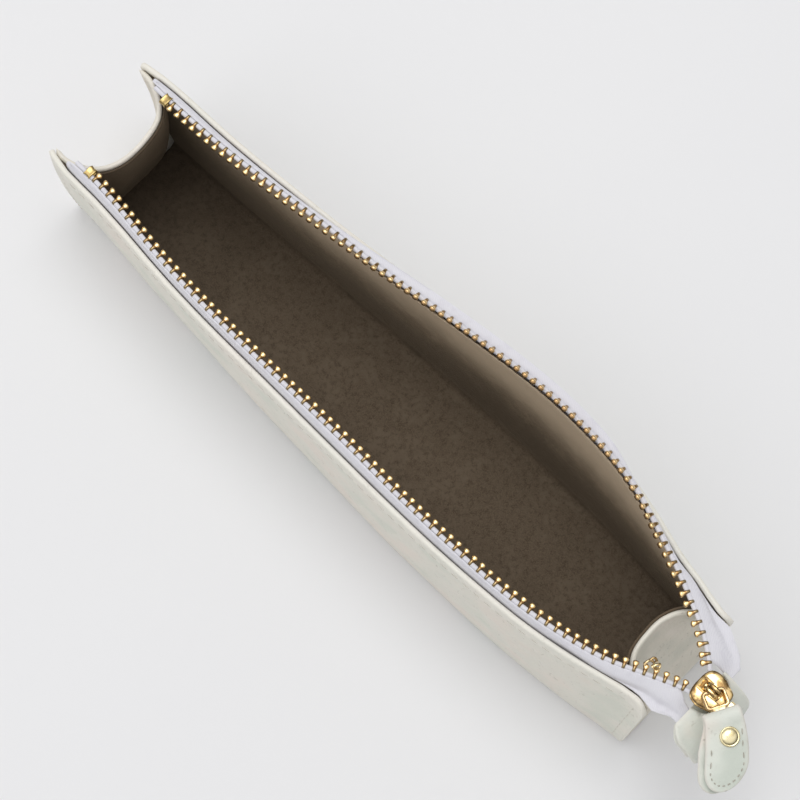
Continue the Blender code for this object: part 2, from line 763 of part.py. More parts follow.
def pull_link():
    """Stamped link: an eye round the bridge, a neck and a cross bar inside the leather."""
    bar = LINK_PLATE / 2
    eye_end = bar + LINK_EYE_LONG
    half = LINK_EYE_WIDE / 2 + LINK_RIM
    neck = LINK_NECK / 2
    corners = (
        ((-bar, -half), LINK_RIM / 2), ((eye_end, -half), LINK_RIM),
        ((eye_end + LINK_RIM, -neck), 0.0), ((LINK_LONG, -neck), 0.0),
        ((LINK_LONG, neck), 0.0), ((eye_end + LINK_RIM, neck), 0.0),
        ((eye_end, half), LINK_RIM), ((-bar, half), LINK_RIM / 2),
    )
    plate = prism("pull_link", rounded(corners), -bar, bar, antique_metal(), flat)
    wide = LINK_EYE_WIDE / 2
    hole = (
        ((bar, -wide), LINK_RIM / 2), ((eye_end, -wide), LINK_RIM),
        ((eye_end, wide), LINK_RIM), ((bar, wide), LINK_RIM / 2),
    )
    eye = prism("link_eye", rounded(hole), -OVERRUN, OVERRUN, antique_metal(), flat)
    boolean(plate, eye, "DIFFERENCE")
    circle = []
    for i in range(CROSSBAR_SIDES):
        turn = 2 * math.pi * i / CROSSBAR_SIDES
        circle.append((LINK_LONG + CROSSBAR_RADIUS * math.cos(turn), CROSSBAR_RADIUS * math.sin(turn)))
    rod = prism("cross_bar", circle, -CROSSBAR_WIDE / 2, CROSSBAR_WIDE / 2, antique_metal(), upright)
    boolean(plate, rod, "UNION")
    return plate, (eye, rod)


def strap(name, line, halves, thickness, middles, finish):
    """Leather strap along a line in the XZ plane, with its half width and middle at each point."""
    rings = []
    last = len(line) - 1
    for i, (x, z) in enumerate(line):
        before = Vector(line[max(i - 1, 0)])
        after = Vector(line[min(i + 1, last)])
        run = (after - before).normalized()
        shift = Vector((-run.y, run.x)) * (thickness / 2)
        half, middle = halves[i], middles[i]
        rings.append([
            (x + shift.x, middle - half, z + shift.y), (x + shift.x, middle + half, z + shift.y),
            (x - shift.x, middle + half, z - shift.y), (x - shift.x, middle - half, z - shift.y),
        ])
    return loft(name, rings, finish)


def tab_line():
    """Folded strap round the cross bar, from the upper tip to the lower tip."""
    turn_radius = CROSSBAR_RADIUS + TAB_BAR_GAP + TAB_LEATHER / 2
    closed = (GAP + TAB_LEATHER) / 2
    half = TAB_WIDE / 2
    upper = []
    for i in range(TAB_TIP_STEPS + 1):
        share = i / TAB_TIP_STEPS
        from_tip = half * (1 - math.cos(math.pi / 2 * share))
        wide = half * math.sin(math.pi / 2 * lerp(TAB_TIP_SHARE, 1, share))
        upper.append((TAB_LONG - from_tip, closed, wide))
    upper.append((lerp(TAB_LONG - half, TAB_PINCH, TAB_WAIST_SHARE), closed, half))
    for i in range(TAB_PINCH_STEPS + 1):
        x = TAB_PINCH * (1 - i / TAB_PINCH_STEPS)
        upper.append((x, lerp(closed, turn_radius, ease(1 - x / TAB_PINCH)), half))
    bend = []
    for i in range(1, TAB_FOLD_STEPS):
        turn = math.pi * i / TAB_FOLD_STEPS
        bend.append((-turn_radius * math.sin(turn), turn_radius * math.cos(turn), half))
    lower = [(x, -z, wide) for x, z, wide in reversed(upper)]
    return upper + bend + lower


def disc(name, radius, low, high, edge, finish):
    """Round plate with a softened upper edge, about the rivet's axis."""
    levels = ((radius, low), (radius, high - edge), (radius - edge, high))
    rings = []
    for wide, z in levels:
        ring = []
        for i in range(RIVET_SIDES):
            turn = 2 * math.pi * i / RIVET_SIDES
            ring.append((RIVET_FROM_BAR + wide * math.cos(turn), wide * math.sin(turn), z))
        rings.append(ring)
    return loft(name, rings, finish, ROUND_SHARP)


def pull_tab():
    """Leather puller with its slot for the link's neck and its rivet."""
    points = tab_line()
    line = [(x, z) for x, z, half in points]
    halves = [half for x, z, half in points]
    middles = [-TAB_SWAY * max(x / TAB_LONG, 0.0) ** TAB_SWAY_POWER for x, z, half in points]
    leather = strap("pull_tab", line, halves, TAB_LEATHER, middles, grain_leather())
    deep = CROSSBAR_RADIUS + TAB_BAR_GAP + TAB_LEATHER + OVERRUN
    slot_end = CROSSBAR_RADIUS
    slot_points = (
        (-deep, -TAB_SLOT / 2), (slot_end, -TAB_SLOT / 2),
        (slot_end, TAB_SLOT / 2), (-deep, TAB_SLOT / 2),
    )
    slot = prism("neck_slot", slot_points, -deep, deep, grain_leather(), flat)
    boolean(leather, slot, "DIFFERENCE")
    hole = disc("rivet_hole", RIVET_SHANK_RADIUS + GAP, -deep, deep, RIVET_EDGE, grain_leather())
    boolean(leather, hole, "DIFFERENCE")
    face = GAP / 2 + TAB_LEATHER + GAP
    under = face + RIVET_WASHER_HIGH + GAP
    cap = disc("rivet_cap", RIVET_CAP_RADIUS, face, face + RIVET_CAP_HIGH, RIVET_EDGE, gold_metal())
    shank = disc("shank", RIVET_SHANK_RADIUS, -under, face + RIVET_CAP_HIGH / 2, RIVET_EDGE, gold_metal())
    boolean(cap, shank, "UNION")
    washer = disc(
        "rivet_washer", RIVET_WASHER_RADIUS, -face - RIVET_WASHER_HIGH, -face, WASHER_EDGE, gold_metal()
    )
    bore = disc("washer_bore", RIVET_SHANK_RADIUS + WASHER_PLAY, -deep, deep, RIVET_EDGE, gold_metal())
    boolean(washer, bore, "DIFFERENCE")
    return (leather, cap, washer), (slot, hole, shank, bore)


def end_tab():
    """Leather folded over the joined tape ends, hanging down behind the slider."""
    start_z = WALL_TOP - TAPE_FREE_FALL
    off = (TAPE + END_TAB_LEATHER) / 2 + GAP

    def leaf(shift):
        points = []
        for i in range(END_TAB_BEND_STEPS + 1):
            turn = END_TAB_SWEEP * i / END_TAB_BEND_STEPS
            radius = END_TAB_BEND + shift
            points.append((
                END_TAB_START + radius * math.sin(turn),
                start_z - END_TAB_BEND + radius * math.cos(turn),
            ))
        down = Vector((math.cos(END_TAB_SWEEP), -math.sin(END_TAB_SWEEP)))
        last = Vector(points[-1]) + down * END_TAB_HANG
        points.append((last.x, last.y))
        return points

    outer, inner = leaf(off), leaf(-off)
    centre = (Vector(outer[-1]) + Vector(inner[-1])) / 2
    arm = Vector(outer[-1]) - centre
    fold = []
    for i in range(1, END_TAB_FOLD_STEPS):
        spot = centre + Matrix.Rotation(-math.pi * i / END_TAB_FOLD_STEPS, 2) @ arm
        fold.append((spot.x, spot.y))
    line = outer + fold + inner[::-1]
    halves = [END_TAB_WIDE / 2] * len(line)
    middles = [END_TAB_Y] * len(line)
    made = strap("zip_end_tab", line, halves, END_TAB_LEATHER, middles, grain_leather())
    room = SLIDER_WIDE / 2 + END_TAB_SIDE_GAP
    stop_end = SLIDER_FRONT + SLIDER_LONG + GAP + BOTTOM_STOP_LONG + GAP
    notch_points = (
        (END_TAB_START - OVERRUN, SLIDER_Y - room), (stop_end, SLIDER_Y - room),
        (stop_end, SLIDER_Y + room), (END_TAB_START - OVERRUN, SLIDER_Y + room),
    )
    under = start_z - END_TAB_BEND
    notch = prism("slider_notch", notch_points, under, WALL_TOP + END_TAB_BEND, grain_leather(), flat)
    boolean(made, notch, "DIFFERENCE")
    return made


def build():
    clear_scene()
    base_panel()
    base_lining()
    for end, name in ((-1, "left"), (1, "right")):
        in_lining = LINING / 2
        in_leather = LINING + GAP + GUSSET_LEATHER / 2
        gusset(end, f"{name}_gusset_lining", in_lining, LINING, GUSSET_TOP - GAP, suede_lining())
        gusset(end, f"{name}_gusset", in_leather, GUSSET_LEATHER, GUSSET_TOP, grain_leather())
    end_tab()
    bottom_stop()
    walls = ((FRONT_SIDE, "front", -FRONT_AXIS), (BACK_SIDE, "back", BACK_AXIS))
    for side, name, axis_y in walls:
        axis = pivot(f"{name}_wall_axis", (0.0, axis_y, FLOOR))
        hang_on(axis, (
            panel(side, f"{name}_panel"),
            wall_lining(side, f"{name}_lining"),
            tape(side, f"{name}_tape"),
            tooth_row(side, f"{name}_tooth_row"),
            top_stop(side, f"{name}_top_stop"),
        ))
    carriage = pivot("slider_axis", (SLIDER_FRONT, SLIDER_Y, ROW_Z))
    hang_on(carriage, (slider(),))
    swing = pivot(
        "pull_axis",
        (BRIDGE_FROM_FRONT, 0.0, BAR_Z - ROW_Z),
        (0.0, LINK_DROOP, PULL_YAW),
        carriage,
    )
    link, link_tools = pull_link()
    for item in (link, *link_tools):
        item.parent = swing
    tip = pivot("tab_axis", (LINK_LONG, 0.0, 0.0), (0.0, TAB_DROOP, 0.0), swing)
    pieces, tab_tools = pull_tab()
    for item in (*pieces, *tab_tools):
        item.parent = tip
    bpy.context.view_layer.update()


build()
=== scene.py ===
"""Ivory leather pen case with an open zip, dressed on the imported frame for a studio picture."""

import json
import logging
import math
from dataclasses import dataclass
from enum import Enum
from functools import cache
from typing import Callable, Sequence, TypeVar

import bpy
import numpy as np
from mathutils import Matrix, Vector, noise


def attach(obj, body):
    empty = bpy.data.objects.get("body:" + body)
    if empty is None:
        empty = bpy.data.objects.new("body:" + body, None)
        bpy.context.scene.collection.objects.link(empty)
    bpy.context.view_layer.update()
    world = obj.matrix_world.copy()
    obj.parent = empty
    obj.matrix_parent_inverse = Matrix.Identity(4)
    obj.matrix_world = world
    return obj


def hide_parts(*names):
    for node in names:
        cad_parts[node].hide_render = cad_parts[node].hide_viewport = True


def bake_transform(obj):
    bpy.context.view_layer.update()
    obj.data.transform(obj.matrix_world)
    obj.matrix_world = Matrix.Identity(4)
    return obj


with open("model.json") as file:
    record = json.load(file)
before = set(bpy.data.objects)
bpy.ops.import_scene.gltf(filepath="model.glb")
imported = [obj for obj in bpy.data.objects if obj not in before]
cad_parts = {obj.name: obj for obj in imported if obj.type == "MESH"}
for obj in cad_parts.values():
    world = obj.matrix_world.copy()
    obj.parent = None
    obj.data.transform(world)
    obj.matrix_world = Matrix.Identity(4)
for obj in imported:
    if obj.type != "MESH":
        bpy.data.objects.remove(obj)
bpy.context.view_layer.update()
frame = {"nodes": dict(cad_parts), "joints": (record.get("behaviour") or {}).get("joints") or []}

MM = 0.001
LOG = logging.getLogger("pen_case")
Colour = tuple[float, float, float]
Inputs = dict[str | int, object]
Rule = Callable[[Vector], float]
Amount = TypeVar("Amount", float, Vector)
Choice = TypeVar("Choice")

# Shares of the way down a wall, of the way over the base, and of a rounded border's reach.
WALL_SHARES = (0, 0.004, 0.011, 0.022, 0.05, 0.09, 0.14, 0.21, 0.3, 0.4, 0.5, 0.6, 0.7, 0.8, 0.9, 1)
FLOOR_SHARES = (0.12, 0.35, 0.65, 1.0)
BORDER_SHARES = (0.0, 0.12, 0.45, 1.0, 2.2)
# Least share of a sheet's thickness, at its very border.
THINNEST = 0.12


class Side(Enum):
    """The two long walls, by the sign of their Y."""

    FRONT = -1
    BACK = 1

    @property
    def word(self) -> str:
        """The side as it is written in names."""
        return self.name.lower()

    def pick(self, front: Choice, back: Choice) -> Choice:
        """The one of two values that belongs to this side."""
        return front if self is Side.FRONT else back


class End(Enum):
    """The two short ends, by the sign of their X."""

    STOPS = -1
    SLIDER = 1

    @property
    def word(self) -> str:
        """The end as it is written in names."""
        return "left" if self is End.STOPS else "right"


def srgb(red: int, green: int, blue: int) -> Colour:
    """Turns a swatch in display values into the linear colour of a shader.

    Args:
        red: Red, 0 to 255.
        green: Green, 0 to 255.
        blue: Blue, 0 to 255.

    Returns:
        The linear colour.
    """
    parts = [value / 255 for value in (red, green, blue)]
    made = [p / 12.92 if p <= 0.04045 else ((p + 0.055) / 1.055) ** 2.4 for p in parts]
    return made[0], made[1], made[2]


def lerp(low: float, high: float, share: float) -> float:
    """Value at a share of the way from low to high."""
    return low + (high - low) * share


def ease(share: float) -> float:
    """Share held between 0 and 1, with a soft start and a soft end."""
    share = clamp(share)
    return share * share * (3 - 2 * share)


def clamp(share: float) -> float:
    """Share held between 0 and 1."""
    return min(max(share, 0.0), 1.0)


def signed_power(value: float, power: float) -> float:
    """Power of a value's size, with its sign kept."""
    return math.copysign(abs(value) ** power, value)


def ring_turns(count: int, start: float = 0.0) -> list[float]:
    """Angles in radians of evenly spaced points round a ring, from a start in steps."""
    return [2 * math.pi * (k + start) / count for k in range(count)]


def hermite(here: Amount, there: Amount, lead: Amount, tail: Amount, t: float) -> Amount:
    """Value on a smooth span.

    Args:
        here: Value at its start.
        there: Value at its end.
        lead: Slope at its start.
        tail: Slope at its end.
        t: Share of the way.

    Returns:
        The value.
    """
    return (
        here * (1 + 2 * t) * (1 - t) ** 2
        + there * t * t * (3 - 2 * t)
        + lead * t * (1 - t) ** 2
        - tail * t * t * (1 - t)
    )


class Curve:
    """Smooth curve through a table of places and values, both in millimetres."""

    def __init__(self, *pairs: tuple[float, float], unit: float = MM) -> None:
        """Keeps the table.

        Args:
            pairs: Places along the case and the value at each.
            unit: Size of one unit of the values, in metres for lengths.
        """
        self.places = [place * MM for place, _ in pairs]
        self.values = [value * unit for _, value in pairs]

    def at(self, place: float) -> float:
        """Value at a place.

        Args:
            place: Place along the case in metres.

        Returns:
            The value, held at the table's ends.
        """
        xs, ys = self.places, self.values
        last = len(xs) - 1
        if place <= xs[0]:
            return ys[0]
        if place >= xs[last]:
            return ys[last]
        k = next(i for i in range(last) if place <= xs[i + 1])
        slopes = []
        for i in (k, k + 1):
            low, high = max(i - 1, 0), min(i + 1, last)
            slopes.append((ys[high] - ys[low]) / (xs[high] - xs[low]))
        span = xs[k + 1] - xs[k]
        t = (place - xs[k]) / span
        return hermite(ys[k], ys[k + 1], span * slopes[0], span * slopes[1], t)


class Link:
    """A shader socket that can be used in sums with numbers and other sockets."""

    def __init__(self, tree: "Tree", socket: bpy.types.NodeSocket) -> None:
        """Keeps the socket and its tree."""
        self.tree = tree
        self.socket = socket

    def _maths(self, operation: str, *terms: "Link | float") -> "Link":
        """Adds one Math node.

        Args:
            operation: The node's operation.
            terms: Its inputs, from the top.

        Returns:
            The result.
        """
        return self.tree.node("ShaderNodeMath", {"operation": operation}, dict(enumerate(terms)))

    def __add__(self, other: "Link | float") -> "Link":
        """Sum."""
        return self._maths("ADD", self, other)

    def __radd__(self, other: "Link | float") -> "Link":
        """Sum with the number first."""
        return self._maths("ADD", other, self)

    def __sub__(self, other: "Link | float") -> "Link":
        """Difference."""
        return self._maths("SUBTRACT", self, other)

    def __rsub__(self, other: "Link | float") -> "Link":
        """Difference with the number first."""
        return self._maths("SUBTRACT", other, self)

    def __mul__(self, other: "Link | float") -> "Link":
        """Product."""
        return self._maths("MULTIPLY", self, other)

    def __rmul__(self, other: "Link | float") -> "Link":
        """Product with the number first."""
        return self._maths("MULTIPLY", other, self)

    def sine(self) -> "Link":
        """Sine of the value in radians."""
        return self._maths("SINE", self)

    def between(self, low: float, high: float) -> "Link":
        """Soft step of the value.

        Args:
            low: Value that gives 0.
            high: Value that gives 1.

        Returns:
            The step, from 0 to 1.
        """
        return self.tree.node(
            "ShaderNodeMapRange",
            {"interpolation_type": "SMOOTHSTEP"},
            {"Value": self, "From Min": low, "From Max": high},
        )


class Tree:
    """Builds the nodes of one material or of the world."""

    def __init__(self, block: bpy.types.Material | bpy.types.World) -> None:
        """Empties the tree of the material or world.

        Args:
            block: The material or world.
        """
        block.use_nodes = True
        self.nodes = block.node_tree.nodes
        self.links = block.node_tree.links
        self.nodes.clear()

    def node(
        self, kind: str, settings: dict[str, object], inputs: Inputs, output: str | int = 0
    ) -> Link:
        """Adds one node.

        Args:
            kind: The node's type.
            settings: Its settings, set first.
            inputs: Value or link of each named or numbered socket.
            output: The output to pass on.

        Returns:
            Link of that output.
        """
        made = self.nodes.new(kind)
        for name, value in settings.items():
            setattr(made, name, value)
        for key, value in inputs.items():
            socket = made.inputs[key]
            if isinstance(value, Link):
                self.links.new(value.socket, socket)
            elif isinstance(value, tuple) and socket.type == "RGBA":
                socket.default_value = (*value, 1.0)
            else:
                socket.default_value = value
        return Link(self, made.outputs[output] if len(made.outputs) else None)

    def place(self) -> Link:
        """Place on the object in millimetres."""
        here = self.node("ShaderNodeTexCoord", {}, {}, "Object")
        return self.vectors("SCALE", {"Scale": 1 / MM, 0: here})

    def vectors(self, operation: str, inputs: Inputs) -> Link:
        """Adds one Vector Math node.

        Args:
            operation: The node's operation.
            inputs: Value or link of its sockets.

        Returns:
            The result.
        """
        return self.node("ShaderNodeVectorMath", {"operation": operation}, inputs)

    def split(self, where: Link) -> tuple[Link, Link, Link]:
        """The three parts of a vector.

        Args:
            where: The vector.

        Returns:
            Its X, Y and Z.
        """
        parts = self.node("ShaderNodeSeparateXYZ", {}, {0: where})
        outputs = parts.socket.node.outputs
        return Link(self, outputs[0]), Link(self, outputs[1]), Link(self, outputs[2])

    def cloud(self, where: Link, size: float, detail: float = 3.0, rough: float = 0.55) -> Link:
        """Cloudy noise.

        Args:
            where: Place in millimetres.
            size: Size of its patches in millimetres.
            detail: Finer layers.
            rough: Strength of the finer layers.

        Returns:
            The noise, from 0 to 1.
        """
        inputs = {"Vector": where, "Scale": 1 / size, "Detail": detail, "Roughness": rough}
        return self.node("ShaderNodeTexNoise", {}, inputs, "Fac")

    def cells(self, where: Link, size: float, feature: str = "F1") -> Link:
        """Cell pattern.

        Args:
            where: Place in millimetres.
            size: Size of a cell in millimetres.
            feature: What is measured in a cell.

        Returns:
            The distance.
        """
        inputs = {"Vector": where, "Scale": 1 / size}
        return self.node("ShaderNodeTexVoronoi", {"feature": feature}, inputs, "Distance")

    def warped(self, where: Link, size: float, reach: float) -> Link:
        """Place moved about by noise, so that patterns lose their regular look.

        Args:
            where: Place in millimetres.
            size: Size of the noise.
            reach: How far points move.

        Returns:
            The moved place.
        """
        shift = self.node("ShaderNodeTexNoise", {}, {"Vector": where, "Scale": 1 / size}, "Color")
        centred = self.vectors("SUBTRACT", {0: shift, 1: (0.5, 0.5, 0.5)})
        step = self.vectors("SCALE", {0: centred, "Scale": 2 * reach})
        return self.vectors("ADD", {0: where, 1: step})

    def mix(self, first: Link | Colour, second: Link | Colour, share: Link | float) -> Link:
        """Mixes two colours.

        Args:
            first: Colour or link.
            second: Colour or link.
            share: Share of the second.

        Returns:
            The mixed colour.
        """
        return self.node("ShaderNodeMix", {"data_type": "RGBA"}, {0: share, 6: first, 7: second}, 2)

    def mark(self, name: str) -> Link:
        """Value that the mesh carries under a name."""
        return self.node("ShaderNodeAttribute", {"attribute_name": name}, {}, "Fac")

    def bump(self, height: Link, depth: float, under: Link | None = None) -> Link:
        """Relief.

        Args:
            height: Height from 0 to 1.
            depth: Depth of the relief in millimetres.
            under: Relief that this one lies on.

        Returns:
            The normal.
        """
        inputs: Inputs = {"Height": height, "Distance": depth * MM, "Strength": 1.0}
        if under is not None:
            inputs["Normal"] = under
        return self.node("ShaderNodeBump", {}, inputs)


@dataclass(frozen=True)
class Finish:
    """What all finishes share: their names and how their material is made."""

    name: str = ""
    slot: str = ""

    def inputs(self, t: Tree, here: Link) -> Inputs:
        """Works out the shader's inputs.

        Args:
            t: Tree of the material.
            here: Place in millimetres.

        Returns:
            Values and links of the Principled shader's sockets.
        """
        raise NotImplementedError

    def make(self) -> bpy.types.Material:
        """Builds the material."""
        made = bpy.data.materials.new(self.name)
        t = Tree(made)
        shader = t.node("ShaderNodeBsdfPrincipled", {}, self.inputs(t, t.place()))
        t.node("ShaderNodeOutputMaterial", {}, {"Surface": shader})
        return made


@dataclass(frozen=True)
class GrainLeather(Finish):
    """Pebbled ivory leather with creases and faint stains, a painted highlight on its top band and
    borders paler as wear and as a painted highlight.
    """

    name: str = "ivory_leather"
    slot: str = "leather"
    body: Colour = srgb(226, 223, 212)
    warm: Colour = srgb(230, 222, 211)
    cool: Colour = srgb(218, 219, 207)
    crease: Colour = srgb(172, 166, 153)
    fleck: Colour = srgb(126, 120, 107)
    # Colour of the painted highlight on the top band, which also serves as the paler colour of worn
    # borders.
    rim: Colour = srgb(237, 233, 223)
    pebble: float = 0.62
    relief: float = 0.09
    flecked: float = 0.26
    band_from: float = 60.0
    drawn_out: Colour = (1.3, 1.3, 0.32)

    def inputs(self, t: Tree, here: Link) -> Inputs:
        """Works out the shader's inputs.

        Args:
            t: Tree of the material.
            here: Place in millimetres.

        Returns:
            Values and links of the Principled shader's sockets.
        """
        height = t.split(here)[2]
        loose = t.warped(here, 1.6, 0.22)
        pebbles = t.cells(loose, self.pebble, "SMOOTH_F1")
        strain = t.vectors("MULTIPLY", {0: t.warped(here, 3.2, 1.3), 1: self.drawn_out})
        folds = t.cloud(strain, 1.0, 3.0, 0.5).between(0.30, 0.44)
        pores = t.cells(loose, 0.9).between(0.02, 0.16)
        patch = t.cloud(here, 16.0, 2.0)
        stain = t.cloud(here, 5.0, 4.0).between(0.5, 0.68)
        specks = 1 - t.cells(t.warped(here, 2.0, 0.6), 1.5).between(0.06, 0.26)
        specks = specks * t.cloud(here, 3.4, 3.0).between(0.5, 0.64)
        tone = t.mix(self.body, self.warm, patch.between(0.50, 0.68))
        tone = t.mix(tone, self.cool, (1 - patch).between(0.50, 0.66))
        # Painted highlight: above the band's starting height the leather is mixed towards the rim
        # colour, as if its upper band were lit.
        tone = t.mix(tone, self.rim, height.between(self.band_from, self.band_from + 0.6) * 0.5)
        tone = t.mix(tone, self.crease, (1 - folds) * stain * 0.45)
        tone = t.mix(tone, self.crease, (1 - pores) * 0.16)
        tone = t.mix(tone, self.fleck, specks * self.flecked)
        # Borders lean towards the rim colour: partly wear, partly a painted highlight.
        tone = t.mix(tone, self.rim, t.mark("edge") * 0.5)
        grain = pebbles * 0.6 + folds * 0.2 + t.cloud(here, 0.25, 2.0) * 0.15
        rough = 0.5 + t.cloud(here, 2.2, 3.0) * 0.16 - t.mark("edge") * 0.06
        waves = t.bump(t.cloud(here, 7.0, 2.0), 0.7)
        return {
            "Base Color": tone,
            "Roughness": rough,
            "Normal": t.bump(grain, self.relief, waves),
            "Specular IOR Level": 0.42,
            "Coat Weight": 0.06,
            "Coat Roughness": 0.4,
        }


@dataclass(frozen=True)
class Microsuede(Finish):
    """Taupe microsuede with a short nap that lies in patches, painted light on the upper walls and
    painted shade low on the walls and towards the left end.
    """

    name: str = "taupe_suede"
    slot: str = "lining"
    body: Colour = srgb(102, 89, 74)
    light: Colour = srgb(121, 107, 90)
    dark: Colour = srgb(79, 68, 55)
    # Colour of the painted light on the upper walls.
    rubbed: Colour = srgb(208, 189, 164)
    # Colour of the painted shade.
    deep: Colour = srgb(60, 51, 41)

    def inputs(self, t: Tree, here: Link) -> Inputs:
        """Works out the shader's inputs.

        Args:
            t: Tree of the material.
            here: Place in millimetres.

        Returns:
            Values and links of the Principled shader's sockets.
        """
        nap = t.cloud(here, 1.3, 5.0, 0.7)
        brushed = t.cloud(t.warped(here, 9.0, 3.0), 7.0, 3.0)
        flecks = t.cells(here, 0.35)
        tone = t.mix(self.body, self.light, brushed.between(0.46, 0.66) * 0.8)
        tone = t.mix(tone, self.dark, (1 - nap).between(0.42, 0.68) * 0.75)
        tone = t.mix(tone, self.light, flecks.between(0.45, 0.75) * 0.4)
        x, _, z = t.split(here)
        level = z + brushed * 6.0
        # Painted shade: a darker band low on the walls, near the fold at the foot.
        fold = level.between(5.0, 9.0) * (1 - level.between(13.0, 27.0))
        tone = t.mix(tone, self.deep, fold * 0.75)
        # Painted light: the upper walls are mixed towards a paler colour, as if lit.
        tone = t.mix(tone, self.rubbed, level.between(20.0, 41.0) * 0.85)
        # Painted shade: darker towards the left end.
        tone = t.mix(tone, self.deep, (1 - x.between(-92.0, -30.0)) * 0.45)
        return {
            "Base Color": tone,
            "Roughness": 0.92 - brushed * 0.08,
            "Normal": t.bump(nap * 0.6 + flecks * 0.4, 0.12),
            "Sheen Weight": 0.5,
            "Sheen Roughness": 0.42,
            "Sheen Tint": srgb(205, 186, 160),
            "Specular IOR Level": 0.2,
        }


@dataclass(frozen=True)
class WovenTape(Finish):
    """Lavender white zip tape in a fine twill."""

    name: str = "woven_tape"
    slot: str = "zip_tape"
    body: Colour = srgb(226, 225, 231)
    shade: Colour = srgb(208, 206, 215)
    pitch: float = 0.5

    def inputs(self, t: Tree, here: Link) -> Inputs:
        """Works out the shader's inputs.

        Args:
            t: Tree of the material.
            here: Place in millimetres.

        Returns:
            Values and links of the Principled shader's sockets.
        """
        here = t.warped(here, 1.1, 0.2)
        x, y, z = t.split(here)
        turn = 2 * math.pi / self.pitch
        across = (y + z) * turn
        ribs = ((x * turn + across * 0.8).sine() + 1) * 0.5
        threads = ((x * turn * 2).sine() * (across * 2).sine() + 1) * 0.5
        wear = t.cloud(here, 3.0, 3.0)
        weave = ribs * 0.5 + threads * 0.5
        tone = t.mix(self.body, self.shade, (1 - weave.between(0.0, 0.55)) * 0.5)
        tone = t.mix(tone, self.shade, wear.between(0.5, 0.72) * 0.35)
        return {
            "Base Color": tone,
            "Roughness": 0.86 - weave * 0.06,
            "Normal": t.bump(weave + t.cloud(here, 0.12, 2.0) * 0.5, 0.03),
            "Sheen Weight": 0.15,
            "Specular IOR Level": 0.25,
        }


@dataclass(frozen=True)
class Thread(Finish):
    """Twisted sewing thread."""

    name: str = "ivory_thread"
    slot: str = "leather"
    body: Colour = srgb(229, 225, 215)
    shade: Colour = srgb(193, 187, 174)

    def inputs(self, t: Tree, here: Link) -> Inputs:
        """Works out the shader's inputs.

        Args:
            t: Tree of the material.
            here: Place in millimetres.

        Returns:
            Values and links of the Principled shader's sockets.
        """
        x, y, z = t.split(here)
        twist = ((x * 14 + (y + z) * 11).sine() + 1) * 0.5
        tone = t.mix(self.shade, self.body, twist.between(0.0, 0.55))
        tone = t.mix(tone, self.shade, t.cloud(here, 2.0, 2.0).between(0.5, 0.8) * 0.4)
        return {
            "Base Color": tone,
            "Roughness": 0.62 - twist * 0.08,
            "Normal": t.bump(twist, 0.05),
            "Specular IOR Level": 0.35,
        }


@dataclass(frozen=True)
class Metal(Finish):
    """Plated metal with fine scratches, tarnish in patches and paler rims, partly wear and partly a
    painted highlight.
    """

    name: str = "pale_gold"
    slot: str = "pale_gold"
    bright: Colour = srgb(236, 214, 166)
    dull: Colour = srgb(168, 134, 84)
    rough: float = 0.16
    tarnish: float = 0.6

    def inputs(self, t: Tree, here: Link) -> Inputs:
        """Works out the shader's inputs.

        Args:
            t: Tree of the material.
            here: Place in millimetres.

        Returns:
            Values and links of the Principled shader's sockets.
        """
        scratches = t.cloud(t.warped(here, 3.0, 0.5), 0.5, 3.0, 0.6)
        film = t.cloud(here, 2.6, 2.0).between(0.46, 0.62)
        tone = t.mix(self.bright, self.dull, film * self.tarnish)
        # Rims lean to the bright colour: partly wear, partly a painted highlight.
        tone = t.mix(tone, self.bright, t.mark("edge") * 0.7)
        return {
            "Base Color": tone,
            "Metallic": 1.0 - film * 0.04,
            "Roughness": self.rough + film * 0.1 + scratches * 0.06,
            "Normal": t.bump(scratches, 0.004),
        }


@dataclass(frozen=True)
class ToothMetal(Finish):
    """Zip teeth: gold heads that darken to brown legs, with painted shade at the heads' rounded
    tips.
    """

    name: str = "tooth_brass"
    slot: str = "zip_brass"
    head: Colour = srgb(236, 206, 152)
    waist: Colour = srgb(146, 108, 62)
    leg: Colour = srgb(148, 130, 96)
    # Colour of the painted shade at the head's tip.
    tip: Colour = srgb(140, 104, 68)

    def inputs(self, t: Tree, here: Link) -> Inputs:
        """Works out the shader's inputs.

        Args:
            t: Tree of the material.
            here: Place in millimetres.

        Returns:
            Values and links of the Principled shader's sockets.
        """
        reach = t.mark("reach")
        film = t.cloud(here, 1.1, 3.0)
        tone = t.mix(self.leg, self.waist, reach.between(0.25, 0.55))
        tone = t.mix(tone, self.head, (reach + film * 0.2).between(0.58, 0.82))
        tone = t.mix(tone, self.waist, film.between(0.5, 0.7) * 0.5)
        # Painted shade: the rounded end of the head darkens towards its tip.
        tone = t.mix(tone, self.tip, reach.between(0.88, 1.0) * 0.8)
        return {
            "Base Color": tone,
            "Metallic": 0.92 - film * 0.08,
            "Roughness": 0.17 + film * 0.12,
            "Normal": t.bump(t.cloud(here, 0.3, 3.0), 0.01),
        }


@dataclass(frozen=True)
class FloorPaper(Finish):
    """Matt pale paper under the case."""

    name: str = "floor_paper"
    body: Colour = srgb(236, 236, 237)
    shade: Colour = srgb(232, 232, 234)

    def inputs(self, t: Tree, here: Link) -> Inputs:
        """Works out the shader's inputs.

        Args:
            t: Tree of the material.
            here: Place in millimetres.

        Returns:
            Values and links of the Principled shader's sockets.
        """
        tone = t.mix(self.body, self.shade, t.cloud(here, 160.0, 2.0))
        grain = t.cloud(here, 0.5, 2.0)
        return {
            "Base Color": tone,
            "Roughness": 0.9 - grain * 0.05,
            "Normal": t.bump(grain, 0.01),
            "Specular IOR Level": 0.1,
        }


@cache
def painted(finish: Finish) -> bpy.types.Material:
    """Material of a finish, made once."""
    return finish.make()


